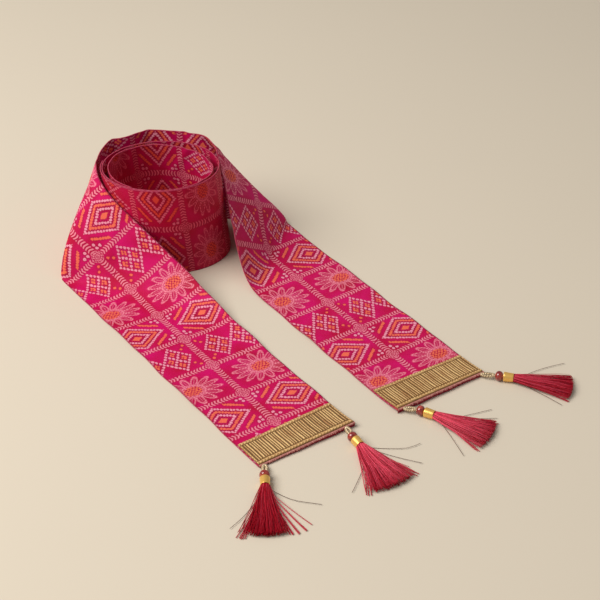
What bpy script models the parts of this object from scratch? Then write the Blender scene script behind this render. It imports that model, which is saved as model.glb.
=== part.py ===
"""A bandhani stole that stands as a loose coil, with both ends laid out flat.

The stole is one narrow strip of cloth. Its middle stands on edge as a coil of two turns inside
one outer turn. Each end fans over, from standing to lying, about one point of its lower edge,
and carries a ribbed gold band and two tassels.

Units are metres, +Z is up and the table is z = 0. The layout is drawn about the coil's middle,
and an empty then moves it so that the origin is the middle of the stole's footprint.

On the cloth, s runs along the strip and w across it, from the lower edge of the standing wall
(w = 0) to the upper one (w = STRIP_WIDTH).
"""
import math
import random
from collections import namedtuple

import bmesh
import bpy
import numpy as np
from mathutils import Vector

# Driving dimensions
STRIP_WIDTH = 0.100
CLOTH = 0.0012
GAP = 0.0003
COLLECTION = "bandhani_stole"

# The two ends. apex is the point of the lower edge about which the end fans over, from the
# coil's middle. heading is where the end runs, wall the way back along the standing wall, and
# side is 1 where the strip's upper edge lies to the left of the heading. The fan starts at the
# crease that rises leaves_wall degrees and ends at the one that lies meets_table degrees from
# square across the strip; the two pulls round it off. The lifts raise the end's two corners.
# At press_at along its upper edge the wall is pressed in towards the coil by press. About the
# apex the cloth billows out by billow, most at billow_reach from it, towards billow_heading and
# within billow_spread degrees of the crease at billow_angle, and stands up by rise.
Tail = namedtuple("Tail", "name apex_x apex_y heading wall side leaves_wall wall_pull "
                          "meets_table table_pull length end_slant lift_lower lift_upper "
                          "press_at press billow billow_reach billow_heading "
                          "billow_angle billow_spread rise")
TAILS = (
    Tail("left", -0.1003, -0.0589, -53.83, 67.9, 1, 40.1, 89.0, 69.8, 24.5,
         0.3485, 0.052, 0.0008, 0.0034, -0.062, 0.0061, 0.0051, 0.0355, 178.0,
         -35.0, 34.0, 0.0),
    Tail("right", 0.1268, 0.0451, -54.53, 169.0, -1, 44.7, 65.1, 43.1, 27.3,
         0.3165, -0.026, 0.0026, 0.0034, -0.110, -0.0015, 0.0040, 0.0190, 24.0,
         -28.0, 62.0, 0.0025),
)
FAN_STEPS = 120
SOFT_RADIUS = 0.006
SOFT_SAMPLES = 9
PRESS_REACH = 0.030
RISE_ACROSS = 0.007
RISE_RADIUS = 0.028
LIFT_RUN = 0.045
SLANT_START = 0.20
SEAM_MARGIN = 0.0005

# How the cloth of an end is divided. The cells of the fan follow its creases, which all but
# meet at the apex: they are APEX_SPREAD to either side of it on the lower edge.
FAN_CELLS = 26
APEX_SPREAD = 0.010
FLAT_CELLS = 5
LIFT_CELLS = 6
ACROSS = (0.0, 0.003, 0.007, 0.013, 0.022, 0.035, 0.050, 0.067, 0.084, STRIP_WIDTH)

# The outer turn's inner face between the two standing walls, from the coil's middle.
PlanPoint = namedtuple("PlanPoint", "x y")
BACK_TURN = (
    PlanPoint(-0.0466, 0.0556),
    PlanPoint(-0.0360, 0.0622),
    PlanPoint(-0.0265, 0.0686),
    PlanPoint(-0.0166, 0.0728),
    PlanPoint(-0.0060, 0.0727),
    PlanPoint(0.0045, 0.0709),
    PlanPoint(0.0140, 0.0688),
    PlanPoint(0.0205, 0.0666),
)
BACK_LEAD = 0.0015
BACK_CELLS = 36
WALL_CELLS = 4

# The coil's outer face is an ellipse, and each row draws the cloth in from it by inset at angle.
COIL_HALF_LENGTH = 0.0602
COIL_HALF_DEPTH = 0.0515
COIL_MIDDLE = (-0.0004, -0.0001)
COIL_FOOT_SHIFT = (0.0085, 0.0050)
Inset = namedtuple("Inset", "angle inset")
COIL_INSETS = (
    Inset(-190, 0.0000),
    Inset(-60, 0.0000),
    Inset(0, 0.0001),
    Inset(60, 0.0004),
    Inset(150, 0.0016),
    Inset(200, 0.0018),
    Inset(270, 0.0020),
    Inset(300, 0.0022),
    Inset(325, 0.0026),
    Inset(354, 0.0055),
    Inset(380, 0.0102),
    Inset(410, 0.0108),
    Inset(440, 0.0096),
    Inset(470, 0.0070),
    Inset(500, 0.0062),
    Inset(535, 0.0078),
    Inset(560, 0.0070),
    Inset(582, 0.0050),
    Inset(600, 0.0036),
)
COIL_JOIN_ANGLE = 170
COIL_STEP_ANGLE = 6

# Gold bands: fine ribs run along the strip between two plain braids.
BAND_DEPTH = 0.0325
BAND_SPLAY = 0.035
BAND_END_MARGIN = 0.0008
BAND_SIDE_MARGIN = 0.0010
BAND_BASE = 0.0009
BAND_RIBS = 40
RIB_HEIGHT = 0.0007
BRAID_DEPTH = 0.0038
BRAID_HEIGHT = 0.0006
RIB_PROFILE = ((0.0, 0.0), (0.30, 1.0), (0.70, 1.0))

# Tassels. Each hangs from a loop sewn on its end's edge at across, and lies from cap_x, cap_y
# along its heading. Its strands fan out to half_spread either side.
Tassel = namedtuple("Tassel", "name tail across cap_x cap_y heading skirt_length half_spread")
TASSELS = (
    Tassel("left_outer", "left", 0.0060, 0.1111, -0.3579, -87.0, 0.0565, 0.0265),
    Tassel("left_inner", "left", 0.0905, 0.1882, -0.3086, -60.0, 0.0560, 0.0265),
    Tassel("right_inner", "right", 0.0945, 0.2513, -0.2716, -27.5, 0.0553, 0.0208),
    Tassel("right_outer", "right", 0.0055, 0.3272, -0.2211, -12.6, 0.0545, 0.0190),
)
AXIS_HEIGHT = 0.0049
LOOP_WIDTH = 0.0060
LOOP_WIRE_RADIUS = 0.0011
LOOP_POINTS = 16
BEAD_LENGTH = 0.0072
BEAD_RADIUS = 0.0047
BEAD_RINGS = 7
CAP_LENGTH = 0.0092
CAP_RADIUS = 0.0045
CAP_WALL = 0.0006
CAP_RECESS = 0.0030
TURN_STEPS = 18
STRAND_COLUMNS = 11
STRAND_ROWS = 3
STRAND_STEPS = 3
STRAND_HALF_WIDTH = 0.00075
STRAND_HALF_HEIGHT = 0.00045
STRAND_ROOT_INSET = 0.00006
STRAND_END_LOWEST = 0.0009
STRAND_END_ROW_RISE = 0.0017
STRAND_CORNERS = ((-1, -1), (-1, 1), (1, 1), (1, -1))
STRAND_LENGTH_SPREAD = 0.0025
STRAND_SWAY = 0.0004
STRAND_CROWDING = 1.4
SEED = 11

# Colours as linear RGB, with roughness and metallic.
Finish = namedtuple("Finish", "colour roughness metallic")
FINISHES = {
    "cloth": Finish((0.52, 0.015, 0.075), 0.62, 0.0),
    "gold_lace": Finish((0.62, 0.42, 0.17), 0.38, 0.8),
    "silk": Finish((0.35, 0.008, 0.030), 0.45, 0.0),
    "gold_metal": Finish((0.80, 0.56, 0.20), 0.22, 1.0),
    "glass_bead": Finish((0.30, 0.010, 0.015), 0.15, 0.0),
    "metal_thread": Finish((0.78, 0.68, 0.50), 0.35, 0.8),
}


def start_empty():
    """Removes what the scene holds and returns the part's collection and its empty."""
    for obj in list(bpy.data.objects):
        bpy.data.objects.remove(obj, do_unlink=True)
    collection = bpy.data.collections.new(COLLECTION)
    bpy.context.scene.collection.children.link(collection)
    middle = bpy.data.objects.new("footprint_middle", None)
    collection.objects.link(middle)
    return collection, middle


def material_for(name, finish):
    """A Principled material of the named finish for one piece."""
    material = bpy.data.materials.new(name)
    material.use_nodes = True
    shader = material.node_tree.nodes["Principled BSDF"]
    shader.inputs["Base Color"].default_value = (*finish.colour, 1.0)
    shader.inputs["Roughness"].default_value = finish.roughness
    shader.inputs["Metallic"].default_value = finish.metallic
    return material


def add_piece(name, data, finish_name, collection, middle):
    """Links one piece under the footprint's empty, with a material of its own."""
    obj = bpy.data.objects.new(name, data)
    data.materials.append(material_for(name, FINISHES[finish_name]))
    collection.objects.link(obj)
    obj.parent = middle
    return obj


# ---------------------------------------------------------------- the cloth's ends

def direction(azimuth, elevation):
    """Unit vector at an azimuth and an elevation in degrees."""
    a, e = math.radians(azimuth), math.radians(elevation)
    return np.array((math.cos(e) * math.cos(a), math.cos(e) * math.sin(a), math.sin(e)))


def table_direction(tail, flat_angle):
    """Where a crease at flat_angle degrees from square across the strip lies on the table."""
    return direction(tail.heading + tail.side * (90.0 - flat_angle), 0.0)


def crease_fan(tail):
    """Flat angles and directions of the creases between the wall and the table."""
    corners = (
        direction(tail.wall, tail.leaves_wall),
        direction(tail.wall, tail.wall_pull),
        table_direction(tail, tail.table_pull),
        table_direction(tail, tail.meets_table),
    )
    t = np.linspace(0.0, 1.0, FAN_STEPS + 1)[:, None]
    curve = ((1 - t) ** 3 * corners[0] + 3 * (1 - t) ** 2 * t * corners[1]
             + 3 * (1 - t) * t ** 2 * corners[2] + t ** 3 * corners[3])
    curve /= np.linalg.norm(curve, axis=1)[:, None]
    steps = np.linalg.norm(np.diff(curve, axis=0), axis=1)
    travelled = np.concatenate(((0.0,), np.cumsum(steps)))
    first, last = math.radians(tail.leaves_wall - 90.0), math.radians(tail.meets_table)
    return first + travelled / travelled[-1] * (last - first), curve


def fold_over(tail, fan, s, w):
    """The strip's inner face: upright behind the fan, conical in it and flat beyond it."""
    angles, curve = fan
    flat_angle = np.arctan2(s, w)
    reach = np.hypot(s, w)[:, None]
    crease = np.stack([np.interp(flat_angle, angles, curve[:, k]) for k in range(3)], axis=1)
    up = np.array((0.0, 0.0, 1.0))
    upright = -s[:, None] * direction(tail.wall, 0.0) + w[:, None] * up
    flat = s[:, None] * table_direction(tail, 90.0) + w[:, None] * table_direction(tail, 0.0)
    laid = np.where((flat_angle < angles[0])[:, None], upright,
                    np.where((flat_angle > angles[-1])[:, None], flat, reach * crease))
    return laid + np.array((tail.apex_x, tail.apex_y, 0.0))


def end_of(tail, w):
    """How far along the strip its cut end lies at w: the end is a little out of square."""
    return tail.length + tail.end_slant * np.asarray(w)


def pressed_in(tail, s, w):
    """How far the standing wall's upper part is pressed in towards the coil."""
    share = np.exp(-((s - tail.press_at) / PRESS_REACH) ** 2) * (w / STRIP_WIDTH) ** 2
    return (tail.press * share)[:, None] * direction(tail.wall - tail.side * 90.0, 0.0)


def billowed(tail, s, w):
    """How far the cloth bellies out above the apex."""
    reach = np.hypot(s, w) / tail.billow_reach
    off = (np.degrees(np.arctan2(s, w)) - tail.billow_angle) / tail.billow_spread
    share = reach * np.exp(1.0 - reach) * np.exp(-off ** 2)
    return (tail.billow * share)[:, None] * direction(tail.billow_heading, 0.0)


def stood_up(tail, s, w):
    """How far the stiff fold holds the cloth up about the apex."""
    return tail.rise * np.exp(-(s ** 2 + (w - RISE_ACROSS) ** 2) / RISE_RADIUS ** 2)


def inner_face(tail, fan, s, w):
    """The end's inner face, with the fold softened and the cut end lifted off the table."""
    s, w = np.asarray(s, float), np.asarray(w, float)
    shifts = np.linspace(-1.0, 1.0, SOFT_SAMPLES)
    weights = 1.0 + np.cos(shifts * math.pi)
    weights = (weights + 0.02) / (weights + 0.02).sum()
    laid = sum(weight * fold_over(tail, fan, s + shift * SOFT_RADIUS, w)
               for shift, weight in zip(shifts, weights))
    rise = np.clip((s - end_of(tail, w) + LIFT_RUN) / LIFT_RUN, 0.0, None) ** 2
    lift = tail.lift_lower + (tail.lift_upper - tail.lift_lower) * w / STRIP_WIDTH
    laid[:, 2] += lift * rise + stood_up(tail, s, w)
    return laid + pressed_in(tail, s, w) + billowed(tail, s, w)


def outward(tail, fan, s, w, step=0.0002):
    """Unit normals of an end: away from the coil on the wall, up on the table."""
    along = inner_face(tail, fan, s + step, w) - inner_face(tail, fan, s - step, w)
    across = inner_face(tail, fan, s, w + step) - inner_face(tail, fan, s, w - step)
    normal = tail.side * np.cross(along, across)
    return normal / np.linalg.norm(normal, axis=1)[:, None]


def seam_station(tail):
    """Where an end's node stops, on the wall just behind its first crease."""
    return -(STRIP_WIDTH / math.tan(math.radians(tail.leaves_wall)) + SEAM_MARGIN)


def stations_along(tail):
    """Rows of stations, lower and upper edge, from the seam along the creases to the cut end."""
    seam, lift_start = seam_station(tail), tail.length - LIFT_RUN
    rows = [(seam, seam)]
    for k in range(FAN_CELLS + 1):
        share = k / FAN_CELLS
        flat_angle = (tail.leaves_wall - 90.0) * (1 - share) + tail.meets_table * share
        rows.append((APEX_SPREAD * (2 * share - 1),
                     STRIP_WIDTH * math.tan(math.radians(flat_angle))))
    fan_end = rows[-1]
    for k in range(1, FLAT_CELLS + 1):
        share = k / FLAT_CELLS
        rows.append(tuple(at + (lift_start - at) * share for at in fan_end))
    rows += [(at, at) for at in np.linspace(lift_start, tail.length, LIFT_CELLS + 1)[1:]]
    return rows


# ---------------------------------------------------------------- slabs of cloth

def laid_slab(name, along, across, surface):
    """Cuts a slab flat over its rows of stations, then lays it by surface(s, w, side).

    A row of along is the station at the lower edge and the one at the upper edge.
    """
    bm = bmesh.new()
    cells = (len(along) - 1, len(across) - 1)
    bmesh.ops.create_grid(bm, x_segments=cells[0], y_segments=cells[1], size=1.0)
    if len(bm.verts) != len(along) * len(across):
        raise RuntimeError(f"{name}: the flat grid doesn't fit its stations")
    raised = bmesh.ops.extrude_face_region(bm, geom=bm.faces[:], use_keep_orig=True)
    for element in raised["geom"]:
        if isinstance(element, bmesh.types.BMVert):
            element.co.z = 1.0
    verts = bm.verts[:]
    rows = np.array([along[round((v.co.x + 1) / 2 * cells[0])] for v in verts])
    w = np.array([across[round((v.co.y + 1) / 2 * cells[1])] for v in verts])
    s = rows[:, 0] + (rows[:, 1] - rows[:, 0]) * w / across[-1]
    side = np.array([v.co.z for v in verts])
    for vert, point in zip(verts, surface(s, w, side)):
        vert.co = point
    bmesh.ops.recalc_face_normals(bm, faces=bm.faces[:])
    mesh = bpy.data.meshes.new(name)
    bm.to_mesh(mesh)
    bm.free()
    mesh.shade_smooth()
    mesh.set_sharp_from_angle(angle=math.radians(50))
    return mesh


def tail_mesh(name, tail):
    """One end of the strip, from its seam with the back turn to its cut end."""
    fan = crease_fan(tail)

    def surface(s, w, side):
        share = np.clip((s - SLANT_START) / (tail.length - SLANT_START), 0.0, 1.0)
        s = s + share * tail.end_slant * w
        face = inner_face(tail, fan, s, w)
        return face + (side * CLOTH)[:, None] * outward(tail, fan, s, w)

    return laid_slab(name, stations_along(tail), ACROSS, surface)


def upright_mesh(name, path, foot_shift=(0.0, 0.0), shape=None):
    """A standing wall: path is its first face, and the cloth lies to the left of it.

    shape gives how far the cloth is moved off the upright at a point of the path and a height.
    """
    path = np.asarray(path)
    travel = np.gradient(path, axis=0)
    travel /= np.linalg.norm(travel, axis=1)[:, None]
    left = np.stack((-travel[:, 1], travel[:, 0]), axis=1)
    heights = np.linspace(0.0, STRIP_WIDTH, WALL_CELLS + 1)

    def surface(s, w, side):
        index = s.round().astype(int)
        plan = path[index] + (side * CLOTH)[:, None] * left[index]
        plan = plan + (1.0 - w / STRIP_WIDTH)[:, None] * np.asarray(foot_shift)
        laid = np.column_stack((plan, w))
        return laid if shape is None else laid + shape(index, w)

    return laid_slab(name, [(k, k) for k in range(len(path))], heights, surface)


def smooth_through(values, at, where):
    """Catmull-Rom interpolation of values given at increasing stations."""
    values, at = np.asarray(values, float), np.asarray(at, float)
    slopes = np.gradient(values, at, axis=0)
    index = np.clip(np.searchsorted(at, where, side="right") - 1, 0, len(at) - 2)
    span = at[index + 1] - at[index]
    t = (where - at[index]) / span
    if values.ndim > 1:
        t, span = t[:, None], span[:, None]
    return ((2 * t ** 3 - 3 * t ** 2 + 1) * values[index]
            + (t ** 3 - 2 * t ** 2 + t) * span * slopes[index]
            + (3 * t ** 2 - 2 * t ** 3) * values[index + 1]
            + (t ** 3 - t ** 2) * span * slopes[index + 1])


def back_turn_path():
    """The outer turn's inner face, from the left wall round the back to the right wall."""
    ends = []
    for tail in TAILS:
        start = np.array((tail.apex_x, tail.apex_y))
        back = direction(tail.wall, 0.0)[:2]
        seam = -seam_station(tail) + GAP
        ends.append([start + back * (seam + k * BACK_LEAD) for k in (0, 1)])
    points = [*ends[0], *BACK_TURN, *reversed(ends[1])]
    spacing = np.linalg.norm(np.diff(points, axis=0), axis=1)
    at = np.concatenate(((0.0,), np.cumsum(spacing)))
    return smooth_through(points, at, np.linspace(0.0, at[-1], BACK_CELLS + 1))


def back_turn_mesh(name):
    """The outer turn, pressed in and out with the walls of the two ends that it joins."""
    path = back_turn_path()
    run = np.linalg.norm(np.diff(path, axis=0), axis=1)
    travelled = np.concatenate(((0.0,), np.cumsum(run)))
    beyond = (travelled + GAP, travelled[-1] - travelled + GAP)

    def shape(index, w):
        return sum(pressed_in(tail, seam_station(tail) - past[index], w)
                   for tail, past in zip(TAILS, beyond))

    return upright_mesh(name, path, shape=shape)


def coil_path(first_angle, last_angle):
    """The coil's outer face, anticlockwise between two angles in degrees."""
    steps = round((last_angle - first_angle) / COIL_STEP_ANGLE)
    angle = np.linspace(first_angle, last_angle, steps + 1)
    inset = smooth_through([row.inset for row in COIL_INSETS],
                           [row.angle for row in COIL_INSETS], angle)
    turn = np.radians(angle)
    radius = 1.0 / np.hypot(np.cos(turn) / COIL_HALF_LENGTH, np.sin(turn) / COIL_HALF_DEPTH)
    reach = radius - inset
    return np.column_stack((COIL_MIDDLE[0] + reach * np.cos(turn),
                            COIL_MIDDLE[1] + reach * np.sin(turn)))


def trimmed(path, cut):
    """The path with its first point moved on by cut."""
    path = path.copy()
    step = path[1] - path[0]
    path[0] += step / np.linalg.norm(step) * cut
    return path


def band_mesh(name, tail):
    """A ribbed band on an end's top face, raised in its outer points over a plain back."""
    fan = crease_fan(tail)
    width = STRIP_WIDTH - 2 * BAND_SIDE_MARGIN
    pitch = width / BAND_RIBS
    across, crests = [], []
    for rib in range(BAND_RIBS):
        for share, height in RIB_PROFILE:
            across.append(BAND_SIDE_MARGIN + (rib + share) * pitch)
            crests.append(height)
    across.append(BAND_SIDE_MARGIN + width)
    crests.append(0.0)
    inner = BRAID_DEPTH, BAND_DEPTH / 2, BAND_DEPTH - BRAID_DEPTH
    depths = (0.0, *inner, BAND_DEPTH)
    floor = CLOTH + GAP

    def surface(s, w, side):
        depth = s * (1.0 + BAND_SPLAY * w / BAND_DEPTH)
        station = end_of(tail, w) - BAND_END_MARGIN - depth
        on_braid = (s < BRAID_DEPTH / 2) | (s > BAND_DEPTH - BRAID_DEPTH / 2)
        ribs = RIB_HEIGHT * np.interp(w, across, crests)
        relief = np.where(on_braid, BRAID_HEIGHT, ribs)
        height = floor + side * (BAND_BASE + relief)
        return inner_face(tail, fan, station, w) + height[:, None] * outward(tail, fan, station, w)

    return laid_slab(name, [(depth, depth) for depth in depths], across, surface)


# ---------------------------------------------------------------- tassels

def turned(name, profile):
    """A turned piece: the profile runs down the outer side about the local Z axis."""
    mesh = bpy.data.meshes.new(name)
    edges = [(k, k + 1) for k in range(len(profile) - 1)]
    mesh.from_pydata([(radius, 0.0, height) for radius, height in profile], edges, [])
    return mesh


def add_screw(obj):
    """Turns an object's profile through a full circle."""
    screw = obj.modifiers.new("turn", "SCREW")
    screw.axis = "Z"
    screw.steps = screw.render_steps = TURN_STEPS
    screw.use_merge_vertices = True
    screw.merge_threshold = 0.00001
    screw.use_smooth_shade = True


def bead_profile():
    """A squat bead along +Z from z = 0, widest in the middle."""
    half = BEAD_LENGTH / 2
    rows = []
    for k in range(BEAD_RINGS + 1):
        turn = math.pi * k / BEAD_RINGS
        rows.append((BEAD_RADIUS * math.sin(turn) ** 0.7 if 0 < k < BEAD_RINGS else 0.0,
                     half + half * math.cos(turn)))
    return rows


def cap_profile():
    """A cup along +Z from z = 0, with a rolled lip, open towards the skirt at its far end."""
    bore = CAP_RADIUS - CAP_WALL
    floor = CAP_LENGTH - CAP_RECESS
    lip = CAP_RADIUS * 0.93
    return (
        (0.0, floor), (bore, floor), (bore, CAP_LENGTH), (lip, CAP_LENGTH),
        (CAP_RADIUS, CAP_LENGTH * 0.94), (CAP_RADIUS, CAP_LENGTH * 0.84),
        (lip, CAP_LENGTH * 0.76), (lip, CAP_LENGTH * 0.26),
        (CAP_RADIUS, CAP_LENGTH * 0.18), (CAP_RADIUS, CAP_LENGTH * 0.07),
        (lip * 0.9, 0.0), (0.0, 0.0),
    )


def loop_curve(name, half_length):
    """A closed loop of twisted cord, flat in XY about its own middle."""
    curve = bpy.data.curves.new(name, "CURVE")
    curve.dimensions = "3D"
    curve.bevel_depth = LOOP_WIRE_RADIUS
    curve.bevel_resolution = 1
    spline = curve.splines.new("POLY")
    spline.points.add(LOOP_POINTS - 1)
    spline.use_cyclic_u = True
    half_x = half_length - LOOP_WIRE_RADIUS
    half_y = LOOP_WIDTH / 2 - LOOP_WIRE_RADIUS
    for k, point in enumerate(spline.points):
        turn = 2 * math.pi * (k + 0.5) / LOOP_POINTS
        point.co = (half_x * math.cos(turn), half_y * math.sin(turn), 0.0, 1.0)
    return curve


def strand_point(tassel, column, row, share, wander):
    """Centre of one strand at a share of its length, from the cap's mouth along +X."""
    u = 2.0 * column / (STRAND_COLUMNS - 1) - 1.0
    v = 2.0 * row / (STRAND_ROWS - 1) - 1.0
    root_y, root_z = head_point(u * 0.92, v * 0.66)
    length, sway, rise = wander
    spread = math.copysign(abs(u) ** STRAND_CROWDING, u) * (1.0 - 0.16 * v)
    end_y = tassel.half_spread * spread + sway
    end_z = STRAND_END_LOWEST + row * STRAND_END_ROW_RISE + rise - AXIS_HEIGHT
    fall = (1.0 - share) ** 1.6
    return Vector((math.sqrt(length ** 2 - end_y ** 2) * share,
                   root_y + (end_y - root_y) * share ** 1.12,
                   end_z + (root_z - end_z) * fall))


def head_point(u, v):
    """Maps a square from -1 to 1 to the tassel head's round end."""
    radius = CAP_RADIUS - CAP_WALL - GAP
    return (radius * u * math.sqrt(1 - v * v / 2), radius * v * math.sqrt(1 - u * u / 2))


def tassel_mesh(name, tassel, chance):
    """A silk skirt: strands drawn out of one head, whose neck sits in the cap."""
    bm = bmesh.new()
    bmesh.ops.create_grid(bm, x_segments=STRAND_COLUMNS, y_segments=STRAND_ROWS, size=1.0)
    for vert in bm.verts:
        vert.co = (0.0, *head_point(vert.co.x, vert.co.y))
    front = bm.faces[:]
    back = bmesh.ops.extrude_face_region(bm, geom=front, use_keep_orig=True)["geom"]
    neck = CAP_RECESS - GAP
    bmesh.ops.translate(bm, vec=(-neck, 0.0, 0.0),
                        verts=[g for g in back if isinstance(g, bmesh.types.BMVert)])
    rows = [front[k:k + STRAND_COLUMNS] for k in range(0, len(front), STRAND_COLUMNS)]
    bmesh.ops.inset_individual(bm, faces=front, thickness=STRAND_ROOT_INSET)
    for row, faces in enumerate(rows):
        for column, face in enumerate(faces):
            wander = (tassel.skirt_length - chance.uniform(0.0, STRAND_LENGTH_SPREAD),
                      chance.uniform(-STRAND_SWAY, STRAND_SWAY),
                      chance.uniform(0.0, STRAND_SWAY / 2))
            draw_strand(bm, face, tassel, column, row, wander)
    bmesh.ops.recalc_face_normals(bm, faces=bm.faces[:])
    mesh = bpy.data.meshes.new(name)
    bm.to_mesh(mesh)
    bm.free()
    return mesh


def draw_strand(bm, face, tassel, column, row, wander):
    """Draws one root face of the head out into a four-sided strand."""
    for step in range(1, STRAND_STEPS + 1):
        share = step / STRAND_STEPS
        face = bmesh.ops.extrude_discrete_faces(bm, faces=[face])["faces"][0]
        centre = strand_point(tassel, column, row, share, wander)
        thick = 0.55 + 0.45 * share
        for vert, (side_y, side_z) in zip(face.verts, STRAND_CORNERS):
            vert.co = centre + Vector((0.0, side_y * STRAND_HALF_WIDTH * thick,
                                       side_z * STRAND_HALF_HEIGHT * thick))


def loop_reach(corner, bead_start, cut_direction):
    """Half the length of a loop that clears the cloth's cut edge and the bead by GAP."""
    across = bead_start - corner
    slant = across.to_2d().angle(cut_direction.to_2d())
    room = across.dot(cut_direction) - GAP * (1 + math.cos(slant))
    half_width = LOOP_WIDTH / 2 * math.sin(slant)
    return (room ** 2 - half_width ** 2) / (2 * room * math.cos(slant))


def add_tassel(tassel, chance, collection, middle):
    """Sews one tassel's loop, bead, cap and skirt to a corner of its end."""
    tail = next(t for t in TAILS if t.name == tassel.tail)
    edge = inner_face(tail, crease_fan(tail), [end_of(tail, tassel.across)], [tassel.across])[0]
    corner = Vector(edge) + Vector((0.0, 0.0, CLOTH / 2))
    heading = math.radians(tassel.heading)
    ahead = Vector((math.cos(heading), math.sin(heading), 0.0))
    cap_start = Vector((tassel.cap_x, tassel.cap_y, AXIS_HEIGHT))
    bead_start = cap_start - ahead * (BEAD_LENGTH + GAP)

    half_length = loop_reach(corner, bead_start, Vector(direction(tail.heading, 0.0)))
    run = (bead_start - corner).normalized()
    name = f"loop_{tassel.name}"
    loop = add_piece(name, loop_curve(name, half_length), "metal_thread", collection, middle)
    loop.location = bead_start - run * (half_length + GAP)
    loop.rotation_euler = (0.0, -math.asin(run.z), math.atan2(run.y, run.x))

    bead = add_piece(f"bead_{tassel.name}", turned(f"bead_{tassel.name}", bead_profile()),
                     "glass_bead", collection, middle)
    cap = add_piece(f"cap_{tassel.name}", turned(f"cap_{tassel.name}", cap_profile()),
                    "gold_metal", collection, middle)
    for obj, place in ((bead, bead_start), (cap, cap_start)):
        obj.location = place
        obj.rotation_euler = (0.0, math.pi / 2, heading)
        add_screw(obj)

    name = f"tassel_{tassel.name}"
    skirt = add_piece(name, tassel_mesh(name, tassel, chance), "silk", collection, middle)
    skirt.location = cap_start + ahead * CAP_LENGTH
    skirt.rotation_euler = (0.0, 0.0, heading)


def centre_footprint(collection, middle):
    """Moves the empty so that the origin is the middle of everything's footprint."""
    bpy.context.view_layer.update()
    graph = bpy.context.evaluated_depsgraph_get()
    points = []
    for obj in collection.objects:
        if obj.type == "EMPTY":
            continue
        shape = obj.evaluated_get(graph)
        mesh = shape.to_mesh()
        points += [obj.matrix_world @ vert.co for vert in mesh.vertices]
        shape.to_mesh_clear()
    for axis in (0, 1):
        values = [point[axis] for point in points]
        middle.location[axis] = -(min(values) + max(values)) / 2


def main():
    collection, middle = start_empty()
    for tail in TAILS:
        name = f"stole_tail_{tail.name}"
        add_piece(name, tail_mesh(name, tail), "cloth", collection, middle)
        name = f"band_{tail.name}"
        add_piece(name, band_mesh(name, tail), "gold_lace", collection, middle)
    add_piece("stole_back_turn", back_turn_mesh("stole_back_turn"), "cloth", collection, middle)
    outer_turn = coil_path(COIL_INSETS[0].angle, COIL_JOIN_ANGLE)
    inner_turn = trimmed(coil_path(COIL_JOIN_ANGLE, COIL_INSETS[-1].angle), GAP)
    for name, path in (("coil_outer_turn", outer_turn), ("coil_inner_turn", inner_turn)):
        add_piece(name, upright_mesh(name, path, COIL_FOOT_SHIFT), "cloth", collection, middle)
    chance = random.Random(SEED)
    for tassel in TASSELS:
        add_tassel(tassel, chance, collection, middle)
    centre_footprint(collection, middle)


if __name__ == "__main__":
    main()
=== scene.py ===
"""The looks of a bandhani stole: a coiled strip with both ends laid out, gold bands and tassels.

Units are metres, +Z is up and the table is z = 0. On the cloth, s runs along the strip and w
across it, from the lower edge of the standing wall (w = 0) to the upper one.
"""

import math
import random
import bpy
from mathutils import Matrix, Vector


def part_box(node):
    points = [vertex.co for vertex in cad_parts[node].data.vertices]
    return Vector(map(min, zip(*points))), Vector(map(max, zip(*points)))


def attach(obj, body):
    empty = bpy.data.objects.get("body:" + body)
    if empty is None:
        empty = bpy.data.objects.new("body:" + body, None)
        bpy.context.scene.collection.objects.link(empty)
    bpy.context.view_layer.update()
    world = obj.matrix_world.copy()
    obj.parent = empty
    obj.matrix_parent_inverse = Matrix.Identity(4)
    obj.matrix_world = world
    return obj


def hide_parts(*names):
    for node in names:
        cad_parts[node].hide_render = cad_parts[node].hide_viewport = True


bl_info = {
    "name": "Bandhani stole",
    "version": (1, 0, 0),
    "blender": (4, 5, 0),
    "location": "3D View > Sidebar > Stole",
    "description": "Builds a tie-dyed silk stole with gold lace bands and silk tassels",
    "category": "Add Mesh",
}

from collections import namedtuple
from functools import lru_cache

import bmesh
import bpy
import numpy as np
from bpy.props import FloatProperty, FloatVectorProperty, IntProperty, PointerProperty
from mathutils import Matrix, Vector

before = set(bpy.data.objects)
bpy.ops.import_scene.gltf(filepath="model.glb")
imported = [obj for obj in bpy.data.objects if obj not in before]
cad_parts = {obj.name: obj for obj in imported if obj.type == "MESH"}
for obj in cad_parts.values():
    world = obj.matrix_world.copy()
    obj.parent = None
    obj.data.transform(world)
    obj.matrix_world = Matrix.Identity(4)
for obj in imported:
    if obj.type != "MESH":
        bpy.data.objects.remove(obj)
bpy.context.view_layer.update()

# The layout is drawn about the coil's middle, which lies here in the frame.
COIL_MIDDLE_AT = np.array((-0.144425, 0.174302, 0.0))
UP = Vector((0.0, 0.0, 1.0))
TINY = 1e-6

# The strip's width, the room that the solids give the cloth, and the gap between neighbours.
WIDTH = 0.100
CLOTH_ROOM = 0.0012
GAP = 0.0003

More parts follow.
